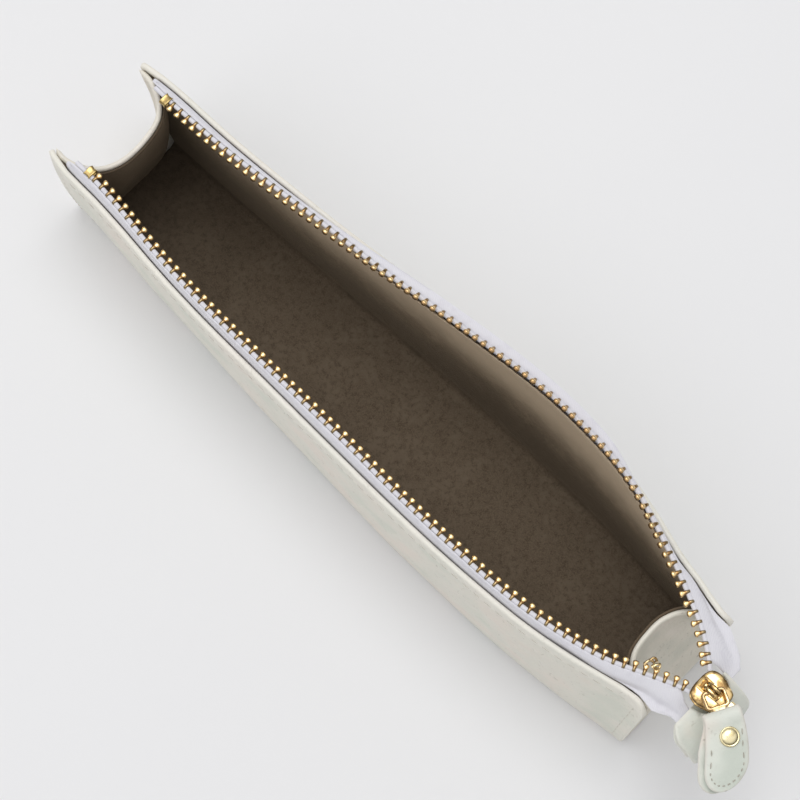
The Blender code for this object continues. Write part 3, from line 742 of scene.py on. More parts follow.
class Shape:
    """Gathers the points and faces of one piece."""

    def __init__(self, name: str) -> None:
        """Starts an empty piece.

        Args:
            name: Name of the piece.
        """
        self.name = name
        self.points: list[Vector] = []
        self.faces: list[tuple[int, ...]] = []
        self.marks: dict[str, list[float]] = {"edge": [], "reach": []}

    def add(
        self,
        points: Sequence[Vector],
        faces: Sequence[tuple[int, ...]],
        edge: Sequence[float] | None = None,
        reach: Sequence[float] | None = None,
    ) -> None:
        """Adds points and faces.

        Args:
            points: New points.
            faces: Faces by number within these points.
            edge: Nearness of each point to a border.
            reach: Share of a tooth's reach at each point.
        """
        first = len(self.points)
        self.points += [Vector(point) for point in points]
        self.faces += [tuple(first + i for i in face) for face in faces]
        self.marks["edge"] += list(edge) if edge is not None else [0.0] * len(points)
        self.marks["reach"] += list(reach) if reach is not None else [0.0] * len(points)

    def loft(self, rings: Sequence[Sequence[Vector]], reach: Sequence[float] | None = None) -> None:
        """Adds a closed skin over rings, with both ends filled.

        Args:
            rings: Rings with the same number of points.
            reach: Mark of each ring.
        """
        count = len(rings[0])
        faces: list[tuple[int, ...]] = [tuple(reversed(range(count)))]
        for i in range(len(rings) - 1):
            low, high = i * count, (i + 1) * count
            for j in range(count):
                k = (j + 1) % count
                faces.append((low + j, low + k, high + k, high + j))
        faces.append(tuple(range((len(rings) - 1) * count, len(rings) * count)))
        marks = None if reach is None else [value for value in reach for _ in range(count)]
        self.add([point for ring in rings for point in ring], faces, reach=marks)

    def tube(
        self, line: Sequence[Vector], radii: Sequence[float] | float, sides: int = 8
    ) -> None:
        """Adds a round bar along a line.

        Args:
            line: Middle points.
            radii: Radius at each of them, or one for all.
            sides: Points round the bar.
        """
        if isinstance(radii, float):
            radii = [radii] * len(line)
        rings, turns = [], ring_turns(sides)
        for i, point in enumerate(line):
            run = (line[min(i + 1, len(line) - 1)] - line[max(i - 1, 0)]).normalized()
            lead = Vector((0, 0, 1)) if abs(run.z) < 0.9 else Vector((1, 0, 0))
            one = run.cross(lead).normalized()
            two = run.cross(one)
            spokes = (one * math.cos(a) + two * math.sin(a) for a in turns)
            rings.append([point + spoke * radii[i] for spoke in spokes])
        self.loft(rings)

    def sheet(
        self,
        grid: Sequence[Sequence[Vector]],
        thickness: float,
        rounded: tuple[bool, bool, bool, bool] = (True, True, True, True),
        skirt: float = 1.2 * MM,
    ) -> None:
        """Adds a solid sheet about a grid of middle points, with rounded borders.

        Args:
            grid: Rows of middle points.
            thickness: Thickness of the sheet.
            rounded: Which of the first row, last row, first and last column are rounded.
            skirt: Width of the border that is marked as edge.
        """
        mid = np.array([[tuple(p) for p in row] for row in grid], float)
        rows, columns = mid.shape[:2]
        along, across = np.gradient(mid, axis=0), np.gradient(mid, axis=1)
        normal = np.cross(along, across)
        normal /= np.maximum(np.linalg.norm(normal, axis=2, keepdims=True), 1e-12)
        down = np.cumsum(np.linalg.norm(np.diff(mid, axis=0, prepend=mid[:1]), axis=2), axis=0)
        over = np.cumsum(np.linalg.norm(np.diff(mid, axis=1, prepend=mid[:, :1]), axis=2), axis=1)
        ways = (down, down[-1:] - down, over, over[:, -1:] - over)
        far = np.full((rows, columns), 1.0)
        for way, wanted in zip(ways, rounded):
            if wanted:
                far = np.minimum(far, way)
        half = thickness / 2
        rise = np.sqrt(1 - (1 - np.clip(far / half, 0, 1)) ** 2)
        rise = np.maximum(rise, THINNEST)[..., None]
        edge = (1 - np.clip(far / skirt, 0, 1)).ravel()
        outer = (mid + normal * half * rise).reshape(-1, 3)
        inner = (mid - normal * half * rise).reshape(-1, 3)
        total = rows * columns
        faces: list[tuple[int, ...]] = []
        for i in range(rows - 1):
            for j in range(columns - 1):
                a, b = i * columns + j, (i + 1) * columns + j
                faces.append((a, b, b + 1, a + 1))
                faces.append((total + a, total + a + 1, total + b + 1, total + b))
        for i in range(rows - 1):
            a, b = i * columns, (i + 1) * columns
            faces.append((a, total + a, total + b, b))
            a, b = a + columns - 1, b + columns - 1
            faces.append((a, b, total + b, total + a))
        for j in range(columns - 1):
            faces.append((j, j + 1, total + j + 1, total + j))
            a = (rows - 1) * columns + j
            faces.append((a, total + a, total + a + 1, a + 1))
        points = [Vector(p) for p in np.vstack([outer, inner])]
        self.add(points, faces, edge=[*edge, *edge])

    def piece(self, finish: Finish, sharp: float = 50.0) -> bpy.types.Object:
        """Makes the Blender object.

        Args:
            finish: The finish that it wears.
            sharp: Angle in degrees above which an edge stays sharp.

        Returns:
            The object.
        """
        mesh = bpy.data.meshes.new(self.name)
        mesh.from_pydata([tuple(p) for p in self.points], [], self.faces)
        for name, values in self.marks.items():
            mesh.attributes.new(name, "FLOAT", "POINT").data.foreach_set("value", values)
        mesh.polygons.foreach_set("use_smooth", [True] * len(mesh.polygons))
        mesh.set_sharp_from_angle(angle=math.radians(sharp))
        mesh.materials.append(painted(finish))
        made = bpy.data.objects.new(self.name, mesh)
        bpy.context.scene.collection.objects.link(made)
        LOG.info("%s: %d faces", self.name, len(self.faces))
        return made


def smooth_line(points: Sequence[Vector], steps: int) -> list[Vector]:
    """Smooth line through points.

    Args:
        points: Points to pass through.
        steps: Steps in each span.

    Returns:
        The line.
    """
    line: list[Vector] = []
    last = len(points) - 1
    for k in range(last):
        before, after = points[max(k - 1, 0)], points[min(k + 2, last)]
        here, there = points[k], points[k + 1]
        lead, tail = (there - before) / 2, (after - here) / 2
        line += [hermite(here, there, lead, tail, i / steps) for i in range(steps)]
    line.append(points[last].copy())
    return line


def spread(low: float, high: float, count: int, border: float) -> list[float]:
    """Even stations with closer ones at both ends, where a border is rounded.

    Args:
        low: First station.
        high: Last station.
        count: Number of even stations.
        border: Reach of the rounded border.

    Returns:
        The stations.
    """
    near = [border * share for share in BORDER_SHARES]
    even = [lerp(low, high, i / (count - 1)) for i in range(1, count - 1)]
    inner = [x for x in even if low + 3 * border < x < high - 3 * border]
    return [low + step for step in near] + inner + [high - step for step in reversed(near)]


@dataclass(frozen=True)
class CaseShape:
    """Plan and section of the case, shared by all its soft parts."""

    left: float = -94.2 * MM
    right: float = 94.6 * MM
    top: float = 42.0 * MM
    leather: float = 1.4 * MM
    lining: float = 0.6 * MM
    gap: float = 0.3 * MM
    stack: float = 3.1 * MM
    crown: float = 1.1 * MM
    foot_round: float = 2.8 * MM
    end_lean: float = 1.9 * MM
    lean_from: float = -84.0 * MM
    lean_over: float = 10.0 * MM
    row_height: float = 44.3 * MM
    row_lift: float = 2.2 * MM
    front_top: Curve = Curve(
        (-94.2, 14.9), (-91.5, 16.0), (-88, 16.6), (-80, 16.8), (-70, 17.5), (-60, 18.5),
        (-50, 19.3), (-38, 19.8), (-20, 20.1), (0, 20.5), (20, 20.8), (35, 20.7), (50, 20.0),
        (60, 19.2), (70, 17.7), (80, 15.6), (87, 13.9), (91, 13.4), (94.6, 14.0),
    )
    back_top: Curve = Curve(
        (-94.2, 16.0), (-90, 16.9), (-83.2, 17.4), (-70, 17.6), (-59.6, 18.1), (-48.7, 18.9),
        (-37, 19.8), (-24, 21.1), (-15.7, 22.0), (-5.5, 23.0), (5, 23.9), (18, 25.0), (33, 25.7),
        (48, 24.8), (57, 23.4), (66.9, 21.1), (76.2, 18.4), (82, 17.4), (89.8, 15.6), (94.6, 15.3),
    )
    front_foot: Curve = Curve(
        (-94, 13.7), (-85, 13.9), (-77, 14.6), (-64, 15.9), (-53, 16.5), (-27, 18.8), (-16, 19.4),
        (0, 20.2), (20, 21.2), (37, 21.3), (53, 21.1), (65, 20.5), (78, 19.4), (87, 18.1),
        (94.6, 17.2),
    )
    back_foot: Curve = Curve(
        (-94, 16.5), (-56, 17.7), (-9, 19.8), (29, 20.9), (66, 20.0), (94.6, 18.5)
    )
    front_row: Curve = Curve(
        (-84, 12.0), (-74, 12.8), (-60, 14.6), (-45, 15.6), (-30, 15.9), (4, 16.0), (20, 16.4),
        (37, 16.3), (53, 15.7), (67, 13.8), (79, 10.9), (88, 7.0), (95, 4.0), (98.2, 3.0),
    )
    back_row: Curve = Curve(
        (-83, 12.2), (-67.5, 12.8), (-53, 14.1), (-37, 15.8), (-20, 17.4), (-4, 19.6), (10, 21.5),
        (26, 23.2), (38, 23.4), (50, 22.5), (59, 20.6), (68, 17.4), (77, 13.9), (85.6, 10.1),
        (91, 7.4), (95, 4.6), (98.2, 1.9),
    )
    back_tilt: Curve = Curve(
        (-94, 0), (-64, 3), (-38, 23), (-15, 47), (8, 64), (30, 66), (47, 62), (64, 45),
        (76, 21), (85, 4), (94, 0), unit=1.0,
    )

    def top_half(self, side: Side, x: float) -> float:
        """Distance of the outer face from the centre plane at the top edge."""
        return side.pick(self.front_top, self.back_top).at(x)

    def wall_half(self, side: Side, x: float, z: float) -> float:
        """Distance of the outer face from the centre plane at a height.

        Args:
            side: The wall.
            x: Place along the case.
            z: Height.

        Returns:
            The distance, with the wall's crown.
        """
        foot = side.pick(self.front_foot, self.back_foot).at(x)
        share = clamp(z / self.top)
        return lerp(foot, self.top_half(side, x), share) + self.crown * math.sin(math.pi * share)

    def lean(self, x: float, z: float) -> float:
        """Reach of the stop end's top past its foot, which slants outwards."""
        return -self.end_lean * ease((self.lean_from - x) / self.lean_over) * clamp(z / self.top)

    def row_half(self, side: Side, x: float) -> float:
        """Distance of the middle of a tooth from the centre plane."""
        return side.pick(self.front_row, self.back_row).at(x)

    def tilt(self, side: Side, x: float) -> float:
        """Angle in radians by which the teeth stand up from lying flat."""
        return 0.0 if side is Side.FRONT else math.radians(self.back_tilt.at(x))

    def row_frame(self, side: Side, x: float) -> tuple[Vector, Vector, Vector, Vector]:
        """Place and directions of a tooth row.

        Args:
            side: The wall.
            x: Place along the case.

        Returns:
            Middle of a tooth, direction of the row, direction to the teeth's heads and up.
        """
        s, step = side.value, 0.3 * MM
        tilt = self.tilt(side, x)
        z = self.row_height + self.row_lift * math.sin(tilt)
        here = Vector((x, s * self.row_half(side, x), z))
        ahead = Vector((x + step, s * self.row_half(side, x + step), z))
        run = (ahead - here).normalized()
        flat = Vector((run.y, -run.x, 0.0)) * s
        up = Vector((0.0, 0.0, 1.0))
        heads = flat * math.cos(tilt) + up * math.sin(tilt)
        over = up * math.cos(tilt) - flat * math.sin(tilt)
        return here, run, heads, over

    def sag(self, side: Side, x: float, z: float) -> float:
        """Small dents and swells of the soft wall.

        Args:
            side: The wall.
            x: Place along the case.
            z: Height.

        Returns:
            The distance by which the wall stands out.
        """
        bulk = math.sin(math.pi * clamp(z / self.top))
        here = Vector((x / (34 * MM), z / (20 * MM), side.value * 3.7))
        fine = Vector((x / (11 * MM), z / (9 * MM), side.value * 7.1))
        return bulk * (0.45 * MM * noise.noise(here) + 0.16 * MM * noise.noise(fine))

    def section(
        self, side: Side, x: float, top: float, depth: float, floor: float, corner: float
    ) -> list[Vector]:
        """Middle line of one layer across a wall, round the foot and in to the centre plane.

        Args:
            side: The wall.
            x: Place along the case.
            top: Height where the layer starts.
            depth: Depth of the layer's middle under the outer face.
            floor: Height of the layer's middle on the base.
            corner: Radius of the layer's middle at the foot.

        Returns:
            The line from the top down.
        """
        s = side.value
        low = floor + corner
        line = []
        for share in WALL_SHARES:
            z = lerp(top, low, share)
            y = self.wall_half(side, x, z) + self.sag(side, x, z) - depth
            line.append(Vector((x + self.lean(x, z), s * y, z)))
        middle = self.wall_half(side, x, low) + self.sag(side, x, low) - depth - corner
        steps = 6
        for i in range(1, steps + 1):
            turn = math.pi / 2 * i / steps
            y = middle + corner * math.cos(turn)
            z = low - corner * math.sin(turn)
            line.append(Vector((x + self.lean(x, z), s * y, z)))
        for share in FLOOR_SHARES:
            line.append(Vector((x, s * middle * (1 - share), floor)))
        return line


@dataclass
class Closing:
    """How far each soft point turns with its wall as the zip closes."""

    shape: CaseShape
    row_from: float = -82.0 * MM
    fade_from: float = 96.0 * MM
    fade_over: float = 5.0 * MM
    head_room: float = 1.4 * MM
    foot: float = 1.7 * MM
    fold_over: float = 12.5 * MM

    def __post_init__(self) -> None:
        """Reads the walls' joints from the frame."""
        joints = {joint["child"]: joint for joint in frame["joints"]}
        self.bodies = {side: f"{side.word}_wall" for side in Side}
        self.limit, self.axis = {}, {}
        for side, body in self.bodies.items():
            joint = joints[body]
            self.limit[side] = math.radians(max(map(abs, joint["range_deg"])))
            self.axis[side] = Vector(joint["pos_m"])

    def row(self, side: Side, x: float) -> float:
        """Weight at which the teeth's heads reach the centre plane.

        Args:
            side: The wall.
            x: Place along the case.

        Returns:
            The weight, fading out in the slider's last stretch.
        """
        x = max(x, self.row_from)
        axis = self.axis[side]
        rise = self.shape.row_height - axis.z
        out = self.shape.row_half(side, x) - abs(axis.y)
        turn = math.asin((abs(axis.y) - self.head_room) / math.hypot(rise, out))
        turn += math.atan2(out, rise)
        return turn / self.limit[side] * (1 - ease((x - self.fade_from) / self.fade_over))

    def wall(self, side: Side, x: float) -> float:
        """Weight of the sewn wall, which follows its zip but never less than its body."""
        return max(1.0, self.row(side, x))

    def with_wall(self, side: Side) -> Rule:
        """Weights of the wall at each place."""
        return lambda point: self.wall(side, point.x)

    def with_row(self, side: Side) -> Rule:
        """Weights of the row at each place."""
        return lambda point: self.row(side, point.x)

    def bend(
        self, piece: bpy.types.Object, side: Side, rule: Rule, *nodes: str
    ) -> bpy.types.Object:
        """Bakes a piece's place into its points, works out a weight for each point between the base
        and its wall without keeping it, and hides the CAD nodes.

        Args:
            piece: The piece.
            side: The wall; not used.
            rule: Weight of a point, before the soft start above the foot.
            nodes: CAD nodes that it stands for.

        Returns:
            The piece.
        """
        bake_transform(piece)
        for vertex in piece.data.vertices:
            rise = ease((vertex.co.z - self.foot) / self.fold_over)
            rise * rule(vertex.co)
        if nodes:
            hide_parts(*nodes)
        return piece


@dataclass(frozen=True)
class LeatherBody:
    """The leather shell: each wall runs round its foot to the middle of the base."""

    shape: CaseShape
    closing: Closing
    right_corner: float = 4.0 * MM
    left_corner: float = 1.6 * MM
    # Height in millimetres where the painted highlight of the top band starts.
    pale_from: float = 37.7

    def edge_height(self, x: float) -> float:
        """Height of the leather's edge, with its rounded corners.

        Args:
            x: Place along the case.

        Returns:
            The height.
        """
        for reach, radius in (
            (self.shape.right - x, self.right_corner), (x - self.shape.left, self.left_corner)
        ):
            if reach < radius:
                rise = math.sqrt(max(radius**2 - (radius - reach) ** 2, 0.0))
                return self.shape.top - radius + rise
        return self.shape.top

    def stations(self) -> list[float]:
        """Places of the sections, closer at the two ends."""
        turns = [math.radians(a) for a in (90, 82, 70, 56, 42, 28, 14, 0)]
        spans = 46
        first = [self.shape.left + self.left_corner * (1 - math.sin(a)) for a in turns]
        last = [self.shape.right - self.right_corner * (1 - math.sin(a)) for a in reversed(turns)]
        middle = [lerp(first[-1], last[0], i / spans) for i in range(1, spans)]
        return first + middle + last

    def build(self) -> None:
        """Makes both halves of the shell."""
        half = self.shape.leather / 2
        corner = self.shape.foot_round - half
        for side in Side:
            grid = []
            for x in self.stations():
                top = self.edge_height(x)
                grid.append(self.shape.section(side, x, top, half, half, corner))
            if side is Side.FRONT:
                grid.reverse()
            shell = Shape(f"{side.word}_leather")
            shell.sheet(grid, self.shape.leather, (True, True, True, False))
            made = shell.piece(GrainLeather(band_from=self.pale_from))
            rule = self.closing.with_wall(side)
            self.closing.bend(made, side, rule, f"{side.word}_panel", "base_panel")


@dataclass(frozen=True)
class SuedeLining:
    """The lining, one half for each wall and its part of the base."""

    shape: CaseShape
    closing: Closing
    end_inset: float = 6.2 * MM
    foot_reach: float = 2.2 * MM
    reach_from: float = 6.0 * MM
    reach_under: float = 32.0 * MM
    reach_fade: float = 4.0 * MM
    top: float = 39.9 * MM
    corner: float = 2.6 * MM
    under_row: float = 1.25 * MM
    behind_row: float = 0.8 * MM
    stand: float = 0.3 * MM

    def rise(self, side: Side, x: float, start: Vector) -> list[Vector]:
        """Points above the wall's part, where the lining follows the zip that stands up.

        Args:
            side: The wall.
            x: Place along the case.
            start: Top of the wall's part.

        Returns:
            The points from the top down.
        """
        here, _, heads, over = self.shape.row_frame(side, x)
        share = ease(2 * math.sin(self.shape.tilt(side, x)) ** 2)
        under = here - heads * self.behind_row - over * self.under_row
        top = (start + Vector((0.0, 0.0, self.stand))).lerp(under, share)
        return [start.lerp(top, step) for step in (1.0, 0.85, 0.6, 0.3)]

    def build(self) -> None:
        """Makes both halves of the lining."""
        shape = self.shape
        low, high = shape.left + self.end_inset, shape.right - self.end_inset
        floor = shape.leather + shape.gap + shape.lining / 2
        depth = shape.stack - shape.lining / 2
        for side in Side:
            grid = []
            for x in spread(low, high, 52, shape.lining / 2):
                line = shape.section(side, x, self.top, depth, floor, self.corner)
                near = ease((abs(x) - high + self.reach_from) / self.reach_from)
                for point in line:
                    level = ease(point.z / self.reach_fade - 1)
                    level -= ease((point.z - self.reach_under) / self.reach_fade)
                    point.x += math.copysign(self.foot_reach * near * level, x)
                grid.append(self.rise(side, x, line[0]) + line)
            if side is Side.FRONT:
                grid.reverse()
            cloth = Shape(f"{side.word}_suede")
            cloth.sheet(grid, shape.lining, (True, True, True, False))
            made = cloth.piece(Microsuede())
            rule = self.closing.with_wall(side)
            self.closing.bend(made, side, rule, f"{side.word}_lining", "base_lining")


@dataclass(frozen=True)
class Gusset:
    """Folded end of the case, with its lining, in two halves that meet at the centre plane."""

    shape: CaseShape
    closing: Closing
    end: End
    leather: float = 1.3 * MM
    top: float = 40.4 * MM
    top_depth: float = 13.2 * MM
    foot_depth: float = 6.4 * MM
    sink: float = 0.75
    bowl_power: float = 2.4
    foot_power: float = 6.0
    tip_inset: float = 0.5 * MM
    opening: float = 8.0 * MM
    open_room: float = 1.3 * MM
    sewn_room: float = 0.05 * MM
    ripple: float = 0.3 * MM
    half_steps: int = 20

    def line(self, z: float, inward: float, turned: float) -> list[Vector]:
        """Plan line at one height.

        Args:
            z: Height.
            inward: Distance of the layer from the side that faces the pens.
            turned: Angle in degrees that the line covers each way from its middle.

        Returns:
            The line from the front wall to the back wall.
        """
        shape, end = self.shape, self.end.value
        floor = shape.leather + shape.gap
        fall = clamp((z - floor) / (self.top - floor)) ** self.sink
        depth = lerp(self.foot_depth, self.top_depth, fall)
        tip = (shape.left if end < 0 else shape.right) - end * self.tip_inset
        sewn = shape.leather + self.sewn_room - shape.lining - shape.gap
        points = []
        for i in range(2 * self.half_steps + 1):
            turn = math.radians(turned) * (i / self.half_steps - 1)
            across = signed_power(math.sin(turn), 2 / self.bowl_power)
            side = Side.FRONT if turn < 0 else Side.BACK
            reach = lerp(1 - abs(across) ** self.foot_power, math.cos(turn), fall)
            x = tip - end * (depth - inward) * reach
            apart = ease(abs(x - tip) / self.opening)
            room = lerp(sewn, self.open_room, apart) + inward
            half = shape.wall_half(side, x, z) + shape.sag(side, x, z) - room
            where = Vector((across * 2.1, z / (14 * MM), end * 5.0))
            x += shape.lean(x, z) - end * self.ripple * noise.noise(where) * reach
            points.append(Vector((x, across * half, z)))
        return points

    def build(self) -> None:
        """Makes leather and lining, front half and back half."""
        shape = self.shape
        hide = GrainLeather(
            name="gusset_leather", body=srgb(221, 215, 202), cool=srgb(209, 206, 193),
            flecked=0.5, relief=0.12,
        )
        inward = shape.lining + shape.gap + self.leather / 2
        self.build_layer("gusset", "gusset", hide, self.leather, self.top, inward, 90.0)
        # The gusset lining's painted light on its upper part stays close to its body colour.
        suede, top = Microsuede(rubbed=srgb(98, 84, 68)), self.top - 0.8 * MM
        inward = shape.lining * 0.8
        self.build_layer("gusset_suede", "gusset_lining", suede, shape.lining, top, inward, 80.0)

    def build_layer(
        self, label: str, node: str, finish: Finish, thickness: float, top: float,
        inward: float, turned: float,
    ) -> None:
        """Makes one layer.

        Args:
            label: Its name within those of its two halves.
            node: The CAD node's name after that of the end.
            finish: Its finish.
            thickness: Its thickness.
            top: Height of its upper edge.
            inward: Distance of its middle from the side that faces the pens.
            turned: Angle in degrees that it covers each way from its middle.
        """
        floor = self.shape.leather + self.shape.gap
        levels = list(reversed(spread(floor, top, 15, thickness / 2)))
        lines = [self.line(z, inward, turned) for z in levels]
        middle = self.half_steps
        for side in Side:
            grid = [side.pick(line[: middle + 1], line[middle:]) for line in lines]
            if self.end is End.STOPS:
                grid.reverse()
            rounded = (True, True, side is Side.FRONT, side is Side.BACK)
            sheet = Shape(f"{self.end.word}_{label}_{side.word}")
            sheet.sheet(grid, thickness, rounded, 0.9 * MM)
            made = sheet.piece(finish)
            self.closing.bend(made, side, self.rule(side), f"{self.end.word}_{node}")

    def rule(self, side: Side) -> Rule:
        """Weights that fade from the wall to the centre plane.

        Args:
            side: The wall.

        Returns:
            The rule.
        """

        def weight(point: Vector) -> float:
            """Weight of one point."""
            half = self.shape.top_half(side, point.x) - self.shape.stack
            return min(abs(point.y) / half, 1.0) * self.closing.wall(side, point.x)

        return weight


# Place towards the head, half width and half height of a tooth, in millimetres.
TOOTH_STAGES = (
    (-1.36, 0.24, 0.42), (-1.25, 0.38, 0.66), (-0.95, 0.46, 0.80), (-0.25, 0.50, 0.80),
    (0.08, 0.50, 0.68), (0.36, 0.60, 0.58), (0.70, 0.76, 0.64), (1.0, 0.74, 0.60),
    (1.22, 0.54, 0.44), (1.33, 0.26, 0.22),
)
# Section of the folded stop: place towards the teeth's heads and height, in millimetres.
STOP_SECTION = (
    (-1.75, 0.62), (-0.9, 0.84), (0.2, 0.86), (0.85, 0.66), (1.12, 0.0),
    (0.85, -0.66), (0.2, -0.86), (-0.9, -0.84), (-1.75, -0.62),
)


@dataclass(frozen=True)
class ZipHalf:
    """One half of the zip: tape, cord, teeth and top stop."""

    shape: CaseShape
    closing: Closing
    side: Side
    tape: float = 0.5 * MM
    tape_left: float = -90.6 * MM
    tape_right: float = 103.0 * MM
    depth: float = 8.5 * MM
    pitch: float = 2.4 * MM
    reach: float = 2.6 * MM
    row_left: float = -82.2 * MM
    row_right: float = 96.4 * MM
    squareness: float = 0.75
    cord: float = 0.55 * MM
    cord_left: float = -88.4 * MM
    cord_right: float = 98.0 * MM
    cord_back: float = 0.75 * MM
    cord_steps: int = 149
    stop_at: float = -84.2 * MM
    stop_half: float = 0.95 * MM
    free_from: float = 66.0 * MM
    free_to: float = 80.0 * MM
    free_drop: float = 0.9 * MM
    loose_to: float = 94.0 * MM
    joined_from: float = 95.0 * MM
    joined_over: float = 4.0 * MM
    joined_half: tuple[float, float] = (10.4 * MM, 11.6 * MM)
    cut_from: float = 99.6 * MM
    cut_over: float = 3.4 * MM
    cut_deep: float = 3.0 * MM
    slider_start: float = 97.5 * MM
    slider_side: float = 5.6 * MM
    tuck_from: float = -87.6 * MM
    tuck_over: float = 6.0 * MM
    flat_from: float = 44.0 * MM
    flat_over: float = 18.0 * MM
    row_from: float = 82.0 * MM
    row_over: float = 12.0 * MM

    def tape_line(self, x: float) -> list[Vector]:
        """Line across the tape at one place, from its sewn edge to the cord.

        Args:
            x: Place along the case.

        Returns:
            The line.
        """
        s, shape = self.side.value, self.shape
        here, _, heads, _ = shape.row_frame(self.side, min(x, self.row_right))
        tilt = shape.tilt(self.side, x)
        free = ease((x - self.free_from) / (self.free_to - self.free_from))
        loose = ease((x - self.free_to) / (self.loose_to - self.free_to))
        pocket = shape.leather + lerp(shape.gap, 0.1 * MM, free) + self.tape / 2
        free_z = shape.top - self.free_drop
        low_z = lerp(shape.top - self.depth, free_z, free)
        low = shape.wall_half(self.side, x, low_z) - pocket
        past = ease((x - self.joined_from) / self.joined_over)
        low = lerp(low, self.side.pick(*self.joined_half), past)
        if self.side is Side.BACK:
            low -= self.cut_deep * ease((x - self.cut_from) / self.cut_over)
        rim = shape.wall_half(self.side, x, shape.top) - pocket
        inner = Vector((x, here.y, here.z)) - heads * (self.reach / 2 + 0.1 * MM)
        inner.x = x
        if x > self.slider_start:
            turn = ease((x - self.slider_start) / self.cut_over)
            beside = s * self.slider_side - 0.6 * MM
            inner.y = lerp(inner.y, beside, min(2.2 * turn, 1.0))
            inner.z = lerp(inner.z, free_z, turn)
        tuck = ease((self.tuck_from - x) / self.tuck_over)
        inner = inner.lerp(Vector((x, s * (rim - 0.25 * MM), shape.top - 1.2 * MM)), tuck)
        bulge = math.sin(tilt) ** 2 * (1 - loose)
        bulge *= 1 - 0.7 * ease((x - self.flat_from) / self.flat_over)
        over_rim = rim - 0.35 * MM + bulge * 2.0 * MM
        swell = lerp(over_rim, abs(inner.y), 0.45) + bulge * 2.3 * MM
        points = [Vector((x, s * low, low_z))]
        for half, high, share, rise in (
            (rim, lerp(shape.top - 0.8 * MM, low_z, free), 0.3, 0.0),
            (over_rim, lerp(shape.top + 0.65 * MM, inner.z, tuck), 0.5, 0.5),
            (swell, inner.z - lerp(0.7, 0.2, bulge) * MM, 0.75, 0.8),
        ):
            y = lerp(half, lerp(low, abs(inner.y), share), loose)
            points.append(Vector((x, s * y, lerp(high, lerp(low_z, inner.z, rise), loose))))
        points.append(inner)
        wave = 0.22 * MM * loose * math.sin(x / (2.1 * MM))
        line = smooth_line(points, 4)
        for i, point in enumerate(line):
            point.z += wave * (1 - i / (len(line) - 1))
        return line

    def tape_weight(self, point: Vector) -> float:
        """Weight of a point of the tape, from that of the sewn edge to that of the row.

        Args:
            point: The point.

        Returns:
            Its weight.
        """
        wall, row = self.closing.wall(self.side, point.x), self.closing.row(self.side, point.x)
        outer = self.shape.top_half(self.side, point.x)
        inner = self.shape.row_half(self.side, point.x)
        share = 1 - clamp((abs(point.y) - inner) / max(outer - inner, MM))
        free = ease((point.x - self.row_from) / self.row_over)
        return lerp(wall, row, max(ease(share), free))

    def build_tape(self) -> None:
        """Makes the tape and its cord."""
        word = self.side.word
        places = spread(self.tape_left, self.tape_right, 96, self.tape / 2)
        grid = [self.tape_line(x) for x in places]
        if self.side is Side.FRONT:
            grid.reverse()
        cloth = Shape(f"{word}_zip_tape")
        cloth.sheet(grid, self.tape)
        core = []
        for i in range(self.cord_steps + 1):
            x = lerp(self.cord_left, self.cord_right, i / self.cord_steps)
            here, _, heads, _ = self.shape.row_frame(self.side, x)
            core.append(here - heads * self.cord_back)
        cloth.tube(core, self.cord)
        made = cloth.piece(WovenTape())
        self.closing.bend(made, self.side, self.tape_weight, f"{word}_tape")

    def stations(self) -> list[float]:
        """Places of the teeth, a whole number of pitches from end to end."""
        probe, length, x = 0.3 * MM, 0.0, self.row_left
        while x < self.row_right:
            length += probe / self.shape.row_frame(self.side, x)[1].x
            x += probe
        teeth = round(length / self.pitch)
        places, x = [], self.row_left
        for _ in range(teeth + 1):
            places.append(x)
            run = self.shape.row_frame(self.side, x)[1]
            x = min(x + length / teeth * run.x, self.row_right)
        return places

    def tooth(self, row: Shape, x: float) -> None:
        """Adds one tooth: legs pinched on the cord, a waist and a rounded head.

        Args:
            row: The row that gets it.
            x: Place along the case.
        """
        here, run, heads, over = self.shape.row_frame(self.side, x)
        uneven = noise.noise(Vector((x / MM * 0.71, self.side.value * 5.3, 0.0)))
        run = (run + heads * 0.1 * uneven).normalized()
        first, last = TOOTH_STAGES[0][0], TOOTH_STAGES[-1][0]
        rings = []
        for place, wide, high in TOOTH_STAGES:
            ring = []
            for turn in ring_turns(12, 0.5):
                one = signed_power(math.cos(turn), self.squareness) * wide * MM
                two = signed_power(math.sin(turn), self.squareness) * high * MM
                ring.append(here + heads * (place * MM) + run * one * self.side.value + over * two)
            rings.append(ring)
        row.loft(rings, [(place - first) / (last - first) for place, _, _ in TOOTH_STAGES])

    def build_teeth(self) -> None:
        """Makes the row of teeth."""
        word = self.side.word
        row = Shape(f"{word}_zip_teeth")
        for x in self.stations():
            self.tooth(row, x)
        made = row.piece(ToothMetal(), 60)
        self.closing.bend(made, self.side, self.closing.with_row(self.side), f"{word}_tooth_row")

    def build_stop(self) -> None:
        """Makes the top stop, a thin plate folded over the cord."""
        word = self.side.word
        here, run, heads, over = self.shape.row_frame(self.side, self.stop_at)
        corners = [here + heads * (out * MM) + over * (high * MM) for out, high in STOP_SECTION]
        section = smooth_line(corners, 3)
        plate, half = 0.32 * MM, self.stop_half
        grid = []
        for step in spread(-half, half, 7, plate / 2):
            pinch = 1 - 0.16 * (1 - (step / half) ** 2)
            grid.append([here + (point - here) * pinch + run * step for point in section])
        if self.side is Side.BACK:
            grid.reverse()
        stop = Shape(f"{word}_top_clamp")
        stop.sheet(grid, plate, skirt=0.3 * MM)
        gold = Metal(
            name="stop_gold", bright=srgb(190, 166, 112), dull=srgb(84, 66, 40), rough=0.26
        )
        made = stop.piece(gold)
        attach(made, f"{word}_wall")
        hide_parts(f"{word}_top_stop")

    def build(self) -> None:
        """Makes the whole half."""
        self.build_tape()
        self.build_teeth()
        self.build_stop()


